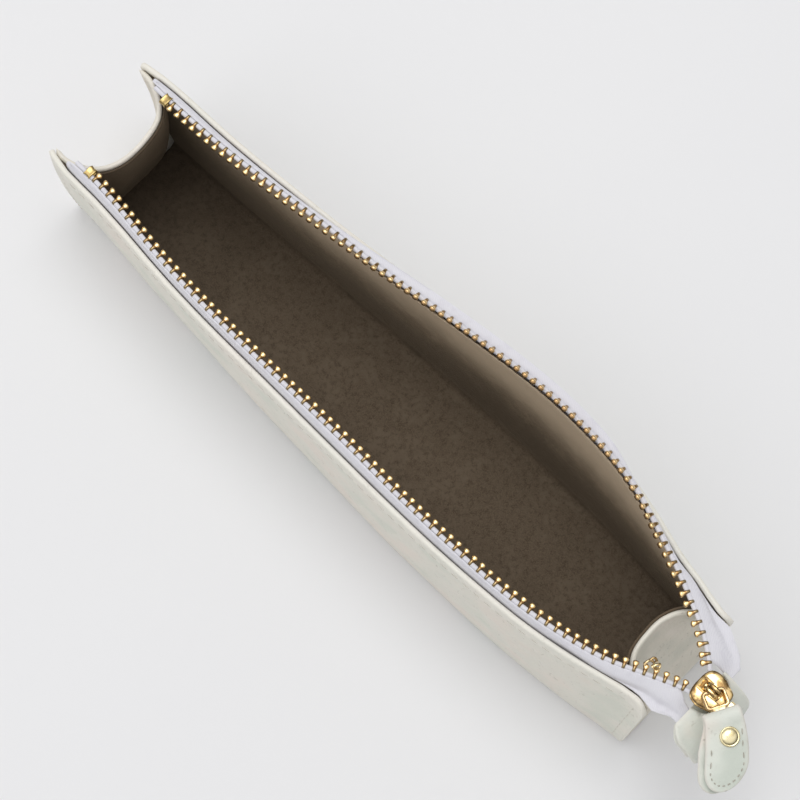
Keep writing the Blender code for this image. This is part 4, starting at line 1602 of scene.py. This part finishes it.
@dataclass(frozen=True)
class RowClip:
    """Small bent wire clip pinched on the front row near the slider."""

    shape: CaseShape
    closing: Closing
    place: float = 88.6 * MM
    wire: float = 0.3 * MM

    def build(self) -> None:
        """Makes the clip."""
        here, run, heads, over = self.shape.row_frame(Side.FRONT, self.place)
        clip = Shape("row_clip")
        loops = (
            (
                (-1.5, 0.9, 0.9), (-1.0, 1.9, 1.2), (-0.2, 2.3, 0.7), (0.5, 1.8, 1.1),
                (0.3, 1.0, 1.3),
            ),
            ((0.3, 0.9, 1.1), (1.0, 1.7, 1.4), (1.7, 2.2, 0.9), (1.9, 1.4, 0.6), (1.2, 0.9, 0.9)),
            ((-0.6, 2.2, 0.8), (-0.1, 3.0, 0.9), (0.5, 3.1, 0.5), (0.9, 2.5, 0.7)),
        )
        for loop in loops:
            points = [here + (run * a + heads * b + over * c) * MM for a, b, c in loop]
            line = smooth_line(points, 5)
            ends = (ease(abs(i / (len(line) - 1) - 0.5) * 4 - 1) for i in range(len(line)))
            clip.tube(line, [self.wire * (1.0 + 0.5 * end) for end in ends])
        made = clip.piece(Metal(name="clip_gold", dull=srgb(140, 104, 56), rough=0.22))
        self.closing.bend(made, Side.FRONT, self.closing.with_row(Side.FRONT))


@dataclass(frozen=True)
class Stitching:
    """Lines of sewing on the outer leather."""

    shape: CaseShape
    closing: Closing
    below: float = 3.4 * MM
    long: float = 2.5 * MM
    gap: float = 0.8 * MM
    thread: float = 0.14 * MM
    end_inset: float = 3.0 * MM
    lowest: float = 3.4 * MM
    steps: int = 6

    def face(self, side: Side, x: float, z: float) -> Vector:
        """Point on the outer face."""
        half = self.shape.wall_half(side, x, z) + self.shape.sag(side, x, z)
        return Vector((x, side.value * half, z))

    def stitch(self, row: Shape, start: Vector, end: Vector, out: Vector) -> None:
        """Adds one stitch that dips into its two holes.

        Args:
            row: The line of stitches.
            start: One hole.
            end: The other hole.
            out: Direction out of the leather.
        """
        line, radii = [], []
        for i in range(self.steps + 1):
            share = i / self.steps
            arch = math.sin(math.pi * share)
            line.append(start.lerp(end, share) + out * self.thread * (arch**0.5 * 1.15 - 0.9))
            radii.append(self.thread * (0.75 + 0.25 * arch))
        row.tube(line, radii, 6)

    def build(self) -> None:
        """Makes the top line and the two end lines of each wall."""
        low, high = self.shape.left + self.end_inset, self.shape.right - self.end_inset
        step = self.long + self.gap
        for side in Side:
            row = Shape(f"{side.word}_stitching")
            out = Vector((0, side.value, 0))
            z = self.shape.top - self.below
            x = low
            while x + self.long < high:
                self.stitch(row, self.face(side, x, z), self.face(side, x + self.long, z), out)
                x += step
            for x in (low, high):
                z = self.shape.top - self.below - self.gap
                while z - self.long > self.lowest:
                    self.stitch(row, self.face(side, x, z), self.face(side, x, z - self.long), out)
                    z -= step
            made = row.piece(Thread())
            self.closing.bend(made, side, self.closing.with_wall(side))


def carve(piece: bpy.types.Object, tool: Shape) -> None:
    """Cuts a shape out of a piece and keeps only the result.

    Args:
        piece: The piece.
        tool: What is cut out of it.
    """
    cutter = tool.piece(Thread())
    cut = piece.modifiers.new(tool.name, "BOOLEAN")
    cut.operation, cut.solver, cut.object = "DIFFERENCE", "EXACT", cutter
    graph = bpy.context.evaluated_depsgraph_get()
    mesh = bpy.data.meshes.new_from_object(piece.evaluated_get(graph))
    piece.modifiers.clear()
    piece.data = mesh
    bpy.data.objects.remove(cutter)


def hinge_frame(name: str, droop: float) -> Matrix:
    """Frame of a hanging piece: X runs down its length, Y along its hinge, Z out of its upper face.

    Args:
        name: The joint that it hangs on.
        droop: Angle in radians by which it hangs below level.

    Returns:
        The frame.
    """
    joint = next(j for j in frame["joints"] if j["name"] == name)
    axis = -Vector(joint["axis"]).normalized()
    yaw = math.atan2(-axis.x, axis.y)
    turned = Matrix.Rotation(yaw, 4, "Z") @ Matrix.Rotation(droop, 4, "Y")
    return Matrix.Translation(Vector(joint["pos_m"])) @ turned


@dataclass(frozen=True)
class EndTab:
    """Leather folded over the joined tape ends, which hangs behind the slider."""

    start: float = 100.8 * MM
    start_z: float = 41.1 * MM
    bend: float = 8.0 * MM
    sweep: float = math.radians(84)
    hang: float = 3.0 * MM
    leather: float = 1.0 * MM
    front: float = -13.6 * MM
    back: float = 5.4 * MM
    corner: float = 4.6 * MM
    nip: float = 2.6 * MM
    off: float = 1.05 * MM
    slider_y: float = -0.6 * MM
    notch: float = 5.3 * MM
    notch_turn: float = math.radians(27)
    tongue: tuple[tuple[float, float], ...] = (
        (101.6, 44.1), (104.0, 43.9), (106.0, 43.45), (107.5, 43.2), (108.8, 42.3),
        (109.2, 40.6), (108.6, 38.3),
    )
    tongue_half: float = 1.3 * MM

    def at(self, turn: float, radius: float, y: float) -> Vector:
        """Point on the tab's arc."""
        x = self.start + radius * math.sin(turn)
        return Vector((x, y, self.start_z - self.bend + radius * math.cos(turn)))

    def leaf(self, shift: float) -> list[tuple[Vector, float]]:
        """Line of one leaf in the XZ plane, with its share of the way to the fold.

        Args:
            shift: Distance of the leaf from the tape's arc.

        Returns:
            The line.
        """
        points = [
            (self.at(self.sweep * i / 10, self.bend + shift, 0.0), 0.075 * i) for i in range(11)
        ]
        last = points[-1][0]
        down = Vector((math.cos(self.sweep), 0, -math.sin(self.sweep)))
        tail = [(last + down * self.hang * part, 0.75 + 0.25 * part) for part in (0.35, 0.7, 1.0)]
        return points + tail

    def across(self, point: Vector, share: float) -> list[Vector]:
        """Row of points across the tab, curled down at its sides and slightly uneven.

        Args:
            point: Place on the leaf's line.
            share: Share of the way to the fold.

        Returns:
            The row.
        """
        near = clamp((share - 0.45) / 0.55)
        inset = self.corner * (1 - math.sqrt(1 - near**3 * 0.98))
        nipped = self.nip * max(1 - share / 0.25, 0.0) ** 2
        low, high = self.front + inset + nipped, self.back - inset
        drop = ease((point.x - self.start) / (6 * MM))
        row = []
        for y in spread(low, high, 15, self.leather / 2):
            side = abs(y - (low + high) / 2) / ((high - low) / 2)
            where = Vector((point.x / (6 * MM), y / (7 * MM), point.z / (6 * MM)))
            x = point.x + 0.5 * MM * noise.noise(where) * drop
            row.append(Vector((x, y, point.z - side**3 * 0.9 * MM * drop)))
        return row

    def room(self) -> Shape:
        """Room for the slider, which narrows down the leaf."""
        room, steps = Shape("slider_room"), 8
        near, far = self.bend + 0.15 * MM, self.bend + 3.2 * MM
        rings = []
        for i in range(steps + 1):
            turn = lerp(-0.25, self.notch_turn, i / steps)
            wide = self.notch * math.sqrt(1 - 0.75 * (i / steps) ** 3)
            low, high = self.slider_y - wide, self.slider_y + wide
            corners = ((near, low), (near, high), (far, high), (far, low))
            rings.append([self.at(turn, radius, y) for radius, y in corners])
        room.loft(rings)
        return room

    def build(self) -> None:
        """Makes the tab and cuts the room for the slider out of its upper leaf."""
        outer, inner = self.leaf(self.off), self.leaf(-self.off)
        centre = (outer[-1][0] + inner[-1][0]) / 2
        arm = outer[-1][0] - centre
        fold = [(centre + Matrix.Rotation(math.pi * i / 8, 3, "Y") @ arm, 1.0) for i in range(1, 8)]
        tab = Shape("end_tab_leather")
        grid = [self.across(point, share) for point, share in outer + fold + inner[::-1]]
        tab.sheet(grid, self.leather)
        hide = GrainLeather(
            name="tab_leather", body=srgb(217, 220, 211), cool=srgb(199, 206, 196),
            pebble=0.5, flecked=0.4,
        )
        made = tab.piece(hide)
        carve(made, self.room())
        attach(made, "base")
        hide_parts("zip_end_tab")
        self.build_tongue()

    def build_tongue(self) -> None:
        """Makes the joined tape ends that carry the bottom stop down into the tab."""
        line = smooth_line([Vector((x * MM, self.slider_y, z * MM)) for x, z in self.tongue], 4)
        sides = [Vector((0.0, self.tongue_half * share, 0.0)) for share in (-1.0, -0.35, 0.35, 1.0)]
        tape = Shape("zip_end_tongue")
        tape.sheet([[point + side for side in sides] for point in line], 0.5 * MM)
        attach(tape.piece(WovenTape()), "base")


# Size of a plate's outline and height as a share of the plate, from its inner face out.
DOME = (
    (0.96, 0.0), (1.0, 0.12), (1.0, 0.42), (0.95, 0.66), (0.82, 0.84), (0.74, 0.9),
    (0.55, 0.94), (0.25, 0.96), (0.02, 0.96),
)
# Plans of the nose post and of the spine in millimetres, and the spine's sizes and heights.
POST = (
    (0.3, 0.0), (0.7, -0.75), (1.6, -1.1), (2.6, -0.6), (3.2, 0.0), (2.6, 0.6), (1.6, 1.1),
    (0.7, 0.75),
)
SPINE = ((3.4, -1.5), (7.4, -1.15), (7.9, 0.0), (7.4, 1.15), (3.4, 1.5))
SPINE_LEVELS = ((1.0, -0.3), (1.0, 0.12), (0.9, 0.32), (0.74, 0.38))


@dataclass(frozen=True)
class ZipSlider:
    """Cast slider: two domed plates with curled rims, a nose post and a twin bar bridge."""

    front: float = 97.8 * MM
    long: float = 8.4 * MM
    y: float = -0.6 * MM
    under: float = 42.3 * MM
    plate: float = 0.9 * MM
    mouth: float = 2.2 * MM
    bridge_at: float = 4.0 * MM
    bridge_long: float = 4.6 * MM
    bridge_high: float = 2.7 * MM
    bar: float = 0.74 * MM
    halves: Curve = Curve(
        (0, 1.2), (0.3, 2.7), (0.9, 3.6), (1.8, 4.1), (3.3, 4.3), (4.6, 4.0), (6.4, 3.4),
        (7.6, 3.0), (8.1, 2.4), (8.4, 1.0),
    )

    @property
    def top(self) -> float:
        """Height of the upper plate's outer face at its rim."""
        return self.under + 2 * self.plate + self.mouth

    def spot(self, x: float, y: float, z: float) -> Vector:
        """Point x and y millimetres from the middle of the nose, at a height in metres."""
        return Vector((self.front + x * MM, self.y + y * MM, z))

    def outline(self) -> list[Vector]:
        """Plan of a plate, anticlockwise."""
        places = [self.long * (1 - math.cos(math.pi * i / 20)) / 2 for i in range(21)]
        right = [(x, -self.halves.at(x)) for x in places]
        left = [(x, self.halves.at(x)) for x in reversed(places)]
        return [Vector((self.front + x, self.y + y, 0.0)) for x, y in right + left]

    def domed(self, body: Shape, low: float, way: int) -> None:
        """Adds one plate, whose outer face is domed.

        Args:
            body: The slider.
            low: Height of its inner face.
            way: 1 for the top plate, -1 for the bottom plate.
        """
        middle = Vector((self.front + self.long * 0.48, self.y, 0.0))
        rings = []
        for size, rise in DOME:
            ring = [middle + (point - middle) * size for point in self.outline()]
            z = low + way * self.plate * rise
            rings.append([Vector((point.x, point.y, z)) for point in ring])
        body.loft(rings if way > 0 else rings[::-1])

    def rim(self, body: Shape, z: float) -> None:
        """Adds the curled rims along both sides.

        Args:
            body: The slider.
            z: Height of the rims.
        """
        for side in Side:
            line = []
            for i in range(15):
                x = lerp(1.3 * MM, 7.5 * MM, i / 14)
                y = self.y + side.value * (self.halves.at(x) - 0.36 * MM)
                line.append(Vector((self.front + x, y, z)))
            body.tube(line, 0.4 * MM)

    def bridge(self, body: Shape) -> None:
        """Adds the two bars of the bridge and their feet.

        Args:
            body: The slider.
        """
        reach = self.bridge_long / 2 - self.bar * 0.7
        high = self.bridge_high - self.bar * 0.7
        middle, steps, squareness = self.front + self.bridge_at, 16, 0.7
        for shift in (-0.62, 0.62):
            line = []
            for i in range(steps + 1):
                turn = math.pi * i / steps
                x = middle - reach * signed_power(math.cos(turn), squareness)
                z = self.top - 0.2 * MM + high * math.sin(turn) ** squareness
                line.append(Vector((x, self.y + shift * MM, z)))
            body.tube(line, self.bar * 0.68, 10)
        for way in (-1, 1):
            foot = middle + way * (self.bridge_long / 2 - 0.35 * MM)
            places = [self.y + y * MM for y in (-1.15, -0.9, 0.0, 0.9, 1.15)]
            line = [Vector((foot, y, self.top + 0.05 * MM)) for y in places]
            body.tube(line, [r * MM for r in (0.2, 0.45, 0.5, 0.45, 0.2)], 10)

    def spine(self, body: Shape) -> None:
        """Adds the raised spine on the top plate and the frame of its square window.

        Args:
            body: The slider.
        """
        middle, rings = 5.4, []
        for size, rise in SPINE_LEVELS:
            z = self.top + rise * MM
            rings.append([self.spot(lerp(middle, x, size), y * size, z) for x, y in SPINE])
        body.loft(rings)
        near, far, half, z = 0.8, 3.2, 1.35, self.top + 0.05 * MM
        corners = ((near, -half), (far, -half), (far, half), (near, half), (near, -half))
        for (x0, y0), (x1, y1) in zip(corners, corners[1:]):
            shares = (0.0, 0.25, 0.5, 0.75, 1.0)
            line = [self.spot(lerp(x0, x1, share), lerp(y0, y1, share), z) for share in shares]
            body.tube(line, 0.36 * MM)

    def build(self) -> None:
        """Makes the slider."""
        body = Shape("zip_slider")
        inner_low = self.under + self.plate
        inner_high = inner_low + self.mouth
        self.domed(body, inner_high, 1)
        self.domed(body, inner_low, -1)
        self.rim(body, inner_high)
        self.rim(body, inner_low)
        ends = (inner_low - 0.3 * MM, inner_high + 0.3 * MM)
        body.loft([[self.spot(x, y, z) for x, y in POST] for z in ends])
        self.spine(body)
        self.bridge(body)
        gold = Metal(
            name="slider_gold", bright=srgb(228, 198, 142), dull=srgb(114, 84, 46),
            rough=0.13, tarnish=0.85,
        )
        made = body.piece(gold, 30)
        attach(made, "slider")
        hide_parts("slider")
        self.window()

    def window(self) -> None:
        """Makes the floor of the square window: a dark metal sheet as painted shade for the hole's
        depth.
        """
        floor = Shape("slider_window")
        xs, ys, z = (1.1, 2.0, 2.9), (-1.1, -0.4, 0.4, 1.1), self.top - 0.02 * MM
        floor.sheet([[self.spot(x, y, z) for y in ys] for x in xs], 0.2 * MM)
        # Painted shade: the dark metal stands for the shade inside the window.
        dark = Metal(name="dark_gold", bright=srgb(122, 92, 52), dull=srgb(82, 58, 32), rough=0.35)
        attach(floor.piece(dark), "slider")


@dataclass(frozen=True)
class PullLink:
    """Stamped link: an eye round the bridge, a neck and a bar inside the leather."""

    droop: float = math.radians(-9)
    long: float = 6.2 * MM
    bar: float = 0.5 * MM
    eye_long: float = 3.8 * MM
    eye_half: float = 2.45 * MM
    rim: float = 0.42 * MM
    neck: float = 1.5 * MM
    corner: float = 0.75 * MM

    def build(self) -> None:
        """Makes the link."""
        place = hinge_frame("pull_swing", self.droop)
        link = Shape("gold_link")
        corner, path = self.corner, []
        near, far, side = corner, self.eye_long - corner, self.eye_half - corner
        bends = ((near, -side, 180), (far, -side, 270), (far, side, 0), (near, side, 90))
        for x, y, start in bends:
            for i in range(6):
                turn = math.radians(start + 90 * i / 5)
                path.append(Vector((x + corner * math.cos(turn), y + corner * math.sin(turn), 0.0)))
        path.append((path[0] + path[-1]) / 2)
        radii = [self.bar if point.x < 0.4 * MM else self.rim for point in path]
        loop = [place @ point for point in path]
        link.tube(loop[-1:] + loop, [self.bar] + radii, 10)
        neck, rings = self.neck / MM, []
        for x, half, high in (
            (3.5, 1.9, 0.30), (3.9, 1.75, 0.42), (4.6, neck, 0.44), (5.6, neck, 0.44),
            (6.3, neck, 0.40),
        ):
            ring = []
            for turn in ring_turns(16, 0.5):
                y = signed_power(math.cos(turn), 0.35) * half * MM
                z = signed_power(math.sin(turn), 0.5) * high * MM
                ring.append(place @ Vector((x * MM, y, z)))
            rings.append(ring)
        link.loft(rings)
        rod = [place @ Vector((self.long, y * MM, 0.0)) for y in (-3.5, -3.3, 0.0, 3.3, 3.5)]
        link.tube(rod, [r * MM for r in (0.3, 0.5, 0.5, 0.5, 0.3)], 10)
        gold = Metal(name="link_gold", bright=srgb(234, 208, 162), dull=srgb(146, 110, 66))
        made = link.piece(gold, 40)
        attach(made, "pull_link")
        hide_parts("pull_link")


# Places across the strap as shares of its half width.
STRAP_SHARES = (-1, -0.97, -0.9, -0.75, -0.5, -0.25, 0, 0.25, 0.5, 0.75, 0.9, 0.97, 1)
# Radius and height of the rivet's cap, in millimetres.
RIVET_PROFILE = (
    (2.25, -0.3), (2.28, 0.1), (2.2, 0.3), (2.06, 0.36), (1.94, 0.3), (1.84, 0.26),
    (1.72, 0.36), (1.4, 0.54), (0.9, 0.68), (0.4, 0.74), (0.05, 0.75),
)


@dataclass(frozen=True)
class Puller:
    """Leather puller folded round the link's bar, with its sewing and its rivet."""

    droop: float = math.radians(8)
    long: float = 15.6 * MM
    wide: float = 10.4 * MM
    top_wide: float = 9.4 * MM
    leather: float = 0.9 * MM
    between: float = 0.3 * MM
    pinch: float = 3.0 * MM
    narrowed: float = 0.4 * MM
    turn_radius: float = 1.25 * MM
    sway: float = 4.6 * MM
    sway_power: float = 1.5
    lower_drop: float = 0.9 * MM
    lower_shift: float = 1.3 * MM
    rivet_from_bar: float = 4.5 * MM
    sewn_inset: float = 1.25 * MM

    @property
    def leaf_height(self) -> float:
        """Height of the middle of the upper leaf over the strap's middle plane."""
        return (self.between + self.leather) / 2

    def line(self) -> list[tuple[float, float, float]]:
        """Length, height and half width along the folded strap."""
        closed = self.leaf_height
        half, top = self.wide / 2, self.top_wide / 2
        upper = []
        for i in range(13):
            turn = math.pi / 2 * lerp(0.03, 1.0, i / 12)
            upper.append((self.long - half * (1 - math.cos(turn)), closed, half * math.sin(turn)))
        for share in (0.3, 0.6, 1.0):
            wide = lerp(half, top, share**2)
            upper.append((lerp(self.long - half, self.pinch, share), closed, wide))
        for i in range(1, 6):
            x = self.pinch * (1 - i / 5)
            open_up = ease(1 - x / self.pinch)
            z = lerp(closed, self.turn_radius, open_up)
            upper.append((x, z, lerp(top, top - self.narrowed, i / 5)))
        fold = []
        for i in range(1, 10):
            turn = math.pi * i / 10
            x, z = -self.turn_radius * math.sin(turn), self.turn_radius * math.cos(turn)
            fold.append((x, z, top - self.narrowed))
        lower = [(x, -z, wide) for x, z, wide in reversed(upper)]
        return upper + fold + lower

    def on_leaf(self, x: float, y: float, z: float) -> Vector:
        """Point of the strap with its sway, curl and waves.

        Args:
            x: Length from the bar.
            y: Place across the strap.
            z: Height over its middle plane.

        Returns:
            The point in the puller's frame.
        """
        share = max(x / self.long, 0.0)
        under = ease(-z / (0.6 * MM)) * ease(x / (6 * MM))
        half = self.wide / 2
        curl = 0.4 * MM * (y / half) ** 2 * ease(share)
        wave = 0.2 * MM * noise.noise(Vector((x / (5 * MM), y / (4 * MM), under * 9)))
        across = y - self.sway * share**self.sway_power - under * self.lower_shift
        return Vector((x, across, z - curl + wave - under * self.lower_drop))

    def build(self) -> None:
        """Makes the strap, its sewing and the rivet."""
        place = hinge_frame("tab_swing", self.droop)
        strap = Shape("puller_leather")
        grid = []
        for x, z, half in self.line():
            grid.append([place @ self.on_leaf(x, share * half, z) for share in STRAP_SHARES])
        strap.sheet(grid, self.leather, skirt=0.7 * MM)
        hide = GrainLeather(
            name="puller_leather", body=srgb(220, 223, 214), cool=srgb(202, 208, 198),
            rim=srgb(226, 214, 205), pebble=0.5, flecked=0.45,
        )
        made = strap.piece(hide)
        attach(made, "puller")
        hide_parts("pull_tab")
        self.build_sewing(place)
        self.build_rivet(place)

    def build_sewing(self, place: Matrix) -> None:
        """Makes the stitches round the upper leaf.

        Args:
            place: The puller's frame.
        """
        half = self.wide / 2 - self.sewn_inset
        centre = self.long - self.wide / 2
        sides, turns = (3.2, 5.5, 8.0), [math.radians(90 - 18 * i) for i in range(11)]
        path = [Vector((x * MM, half * 0.93, 0)) for x in sides]
        path += [Vector((centre + half * math.cos(a), half * math.sin(a), 0)) for a in turns]
        path += [Vector((x * MM, -half * 0.93, 0)) for x in reversed(sides)]
        line = smooth_line(path, 8)
        radii = [r * MM for r in (0.08, 0.14, 0.16, 0.14, 0.08)]
        sewing = Shape("puller_stitching")
        for first in range(2, len(line) - 7, 8):
            spots = []
            for i, point in enumerate(line[first : first + 5]):
                face = self.leather / 2 + 0.08 * MM * math.sin(math.pi * i / 4)
                spots.append(place @ self.on_leaf(point.x, point.y, self.leaf_height + face))
            sewing.tube(spots, radii, 6)
        thread = Thread(name="puller_thread", body=srgb(196, 192, 181), shade=srgb(146, 141, 129))
        made = sewing.piece(thread)
        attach(made, "puller")

    def build_rivet(self, place: Matrix) -> None:
        """Makes the rivet's domed cap with its rim.

        Args:
            place: The puller's frame.
        """
        cap = Shape("rivet_dome")
        middle = Vector((self.rivet_from_bar, 0.0, self.between / 2 + self.leather + 0.05 * MM))
        rings = []
        for radius, high in RIVET_PROFILE:
            spokes = [(radius * math.cos(a), radius * math.sin(a), high) for a in ring_turns(40)]
            rings.append([place @ (middle + Vector(spoke) * MM) for spoke in spokes])
        cap.loft(rings)
        gold = Metal(
            name="rivet_gold", bright=srgb(226, 214, 174), dull=srgb(176, 158, 112), rough=0.2
        )
        made = cap.piece(gold)
        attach(made, "puller")
        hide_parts("rivet_cap")


@dataclass(frozen=True)
class Hardware:
    """CAD metal that keeps its shape and gets a better finish."""

    names: tuple[str, ...] = ("bottom_stop", "rivet_washer")

    def build(self) -> None:
        """Paints the metal."""
        for name in self.names:
            node = frame["nodes"][name]
            for slot in node.material_slots:
                slot.material = painted(Metal())
            LOG.info("%s: new finish", name)


@dataclass(frozen=True)
class Lamp:
    """Soft square lamp that looks at the case; its level is the light that it gives the floor."""

    name: str
    place: tuple[float, float, float]
    size: float
    level: float

    def build(self) -> None:
        """Makes the lamp."""
        place = Vector(self.place)
        lamp = bpy.data.lights.new(self.name, "AREA")
        lamp.size = self.size
        lamp.energy = self.level * math.pi**2 * place.length**2
        made = bpy.data.objects.new(self.name, lamp)
        made.location = place
        made.rotation_euler = (-place).to_track_quat("-Z", "Y").to_euler()
        bpy.context.scene.collection.objects.link(made)


@dataclass(frozen=True)
class Studio:
    """Pale floor, soft light and the camera."""

    azimuth: float = 44.22
    elevation: float = 76.81
    lens: float = 117.1
    away: float = 640.0 * MM
    target: tuple[float, float, float] = (-1.76 * MM, 6.475 * MM, 0.0)
    floor_side: float = 3.0
    sky: float = 0.58
    sky_seen: float = 0.80
    gloss_low: float = 0.07
    gloss_high: float = 1.2
    lamps: tuple[Lamp, ...] = (
        Lamp("key_lamp", (-0.2, 0.26, 1.35), 0.75, 0.33),
        Lamp("fill_lamp", (-0.5, -0.7, 1.15), 1.3, 0.20),
    )

    def build_floor(self) -> None:
        """Makes the floor."""
        half, count = self.floor_side / 2, 13
        steps = [lerp(-half, half, i / (count - 1)) for i in range(count)]
        corners = [i * count + j for i in range(count - 1) for j in range(count - 1)]
        mesh = bpy.data.meshes.new("floor")
        mesh.from_pydata(
            [(x, y, 0.0) for x in steps for y in steps], [],
            [(a, a + count, a + count + 1, a + 1) for a in corners],
        )
        mesh.materials.append(painted(FloorPaper()))
        made = bpy.data.objects.new("floor", mesh)
        bpy.context.scene.collection.objects.link(made)

    def build_sky(self) -> None:
        """Makes the even surrounding light, which the camera and gloss see as pale."""
        world = bpy.data.worlds.new("soft_room")
        bpy.context.scene.world = world
        t = Tree(world)
        rays = ("Is Glossy Ray", "Is Camera Ray", "Is Transmission Ray")
        glossy, camera, through = (t.node("ShaderNodeLightPath", {}, {}, ray) for ray in rays)
        height = t.split(t.node("ShaderNodeTexCoord", {}, {}, "Generated"))[2]
        shade = {"From Min": 0.1, "From Max": 0.9, "To Min": self.gloss_low}
        shade |= {"To Max": self.gloss_high, "Value": height}
        dome = t.node("ShaderNodeMapRange", {"interpolation_type": "SMOOTHSTEP"}, shade)
        shine = t.node("ShaderNodeMix", {}, {"A": self.sky, "Factor": glossy, "B": dome})
        seen = t.node(
            "ShaderNodeMath", {"operation": "ADD", "use_clamp": True}, {0: camera, 1: through}
        )
        level = t.node("ShaderNodeMix", {}, {"B": self.sky_seen, "Factor": seen, "A": shine})
        white = {"Color": (1.0, 1.0, 1.0), "Strength": level}
        ground = t.node("ShaderNodeBackground", {}, white)
        t.node("ShaderNodeOutputWorld", {}, {"Surface": ground})

    def build_camera(self) -> None:
        """Makes the camera at the photograph's place."""
        a, e = math.radians(self.azimuth), math.radians(self.elevation)
        back = Vector((math.sin(a) * math.cos(e), -math.cos(a) * math.cos(e), math.sin(e)))
        right = Vector((math.cos(a), math.sin(a), 0.0))
        up = back.cross(right)
        data = bpy.data.cameras.new("camera")
        data.lens, data.sensor_width = self.lens, 36.0
        data.clip_start, data.clip_end = 0.01, 20.0
        camera = bpy.data.objects.new("camera", data)
        turn = Matrix((right, up, back)).transposed().to_4x4()
        camera.matrix_world = Matrix.Translation(Vector(self.target) + back * self.away) @ turn
        bpy.context.scene.collection.objects.link(camera)
        bpy.context.scene.camera = camera

    def build(self) -> None:
        """Makes the whole studio."""
        self.build_floor()
        self.build_sky()
        for lamp in self.lamps:
            lamp.build()
        self.build_camera()
        settings = bpy.context.scene.view_settings
        settings.view_transform = "Standard"


def main() -> None:
    """Builds the case and its studio in order."""
    logging.basicConfig(level=logging.INFO, format="%(name)s %(message)s")
    shape = CaseShape()
    closing = Closing(shape)
    Studio().build()
    LeatherBody(shape, closing).build()
    SuedeLining(shape, closing).build()
    Gusset(shape, closing, End.STOPS).build()
    Gusset(shape, closing, End.SLIDER, foot_depth=1.4 * MM).build()
    for side in Side:
        ZipHalf(shape, closing, side).build()
    Stitching(shape, closing).build()
    RowClip(shape, closing).build()
    EndTab().build()
    ZipSlider().build()
    PullLink().build()
    Puller().build()
    Hardware().build()


if __name__ == "__main__":
    main()
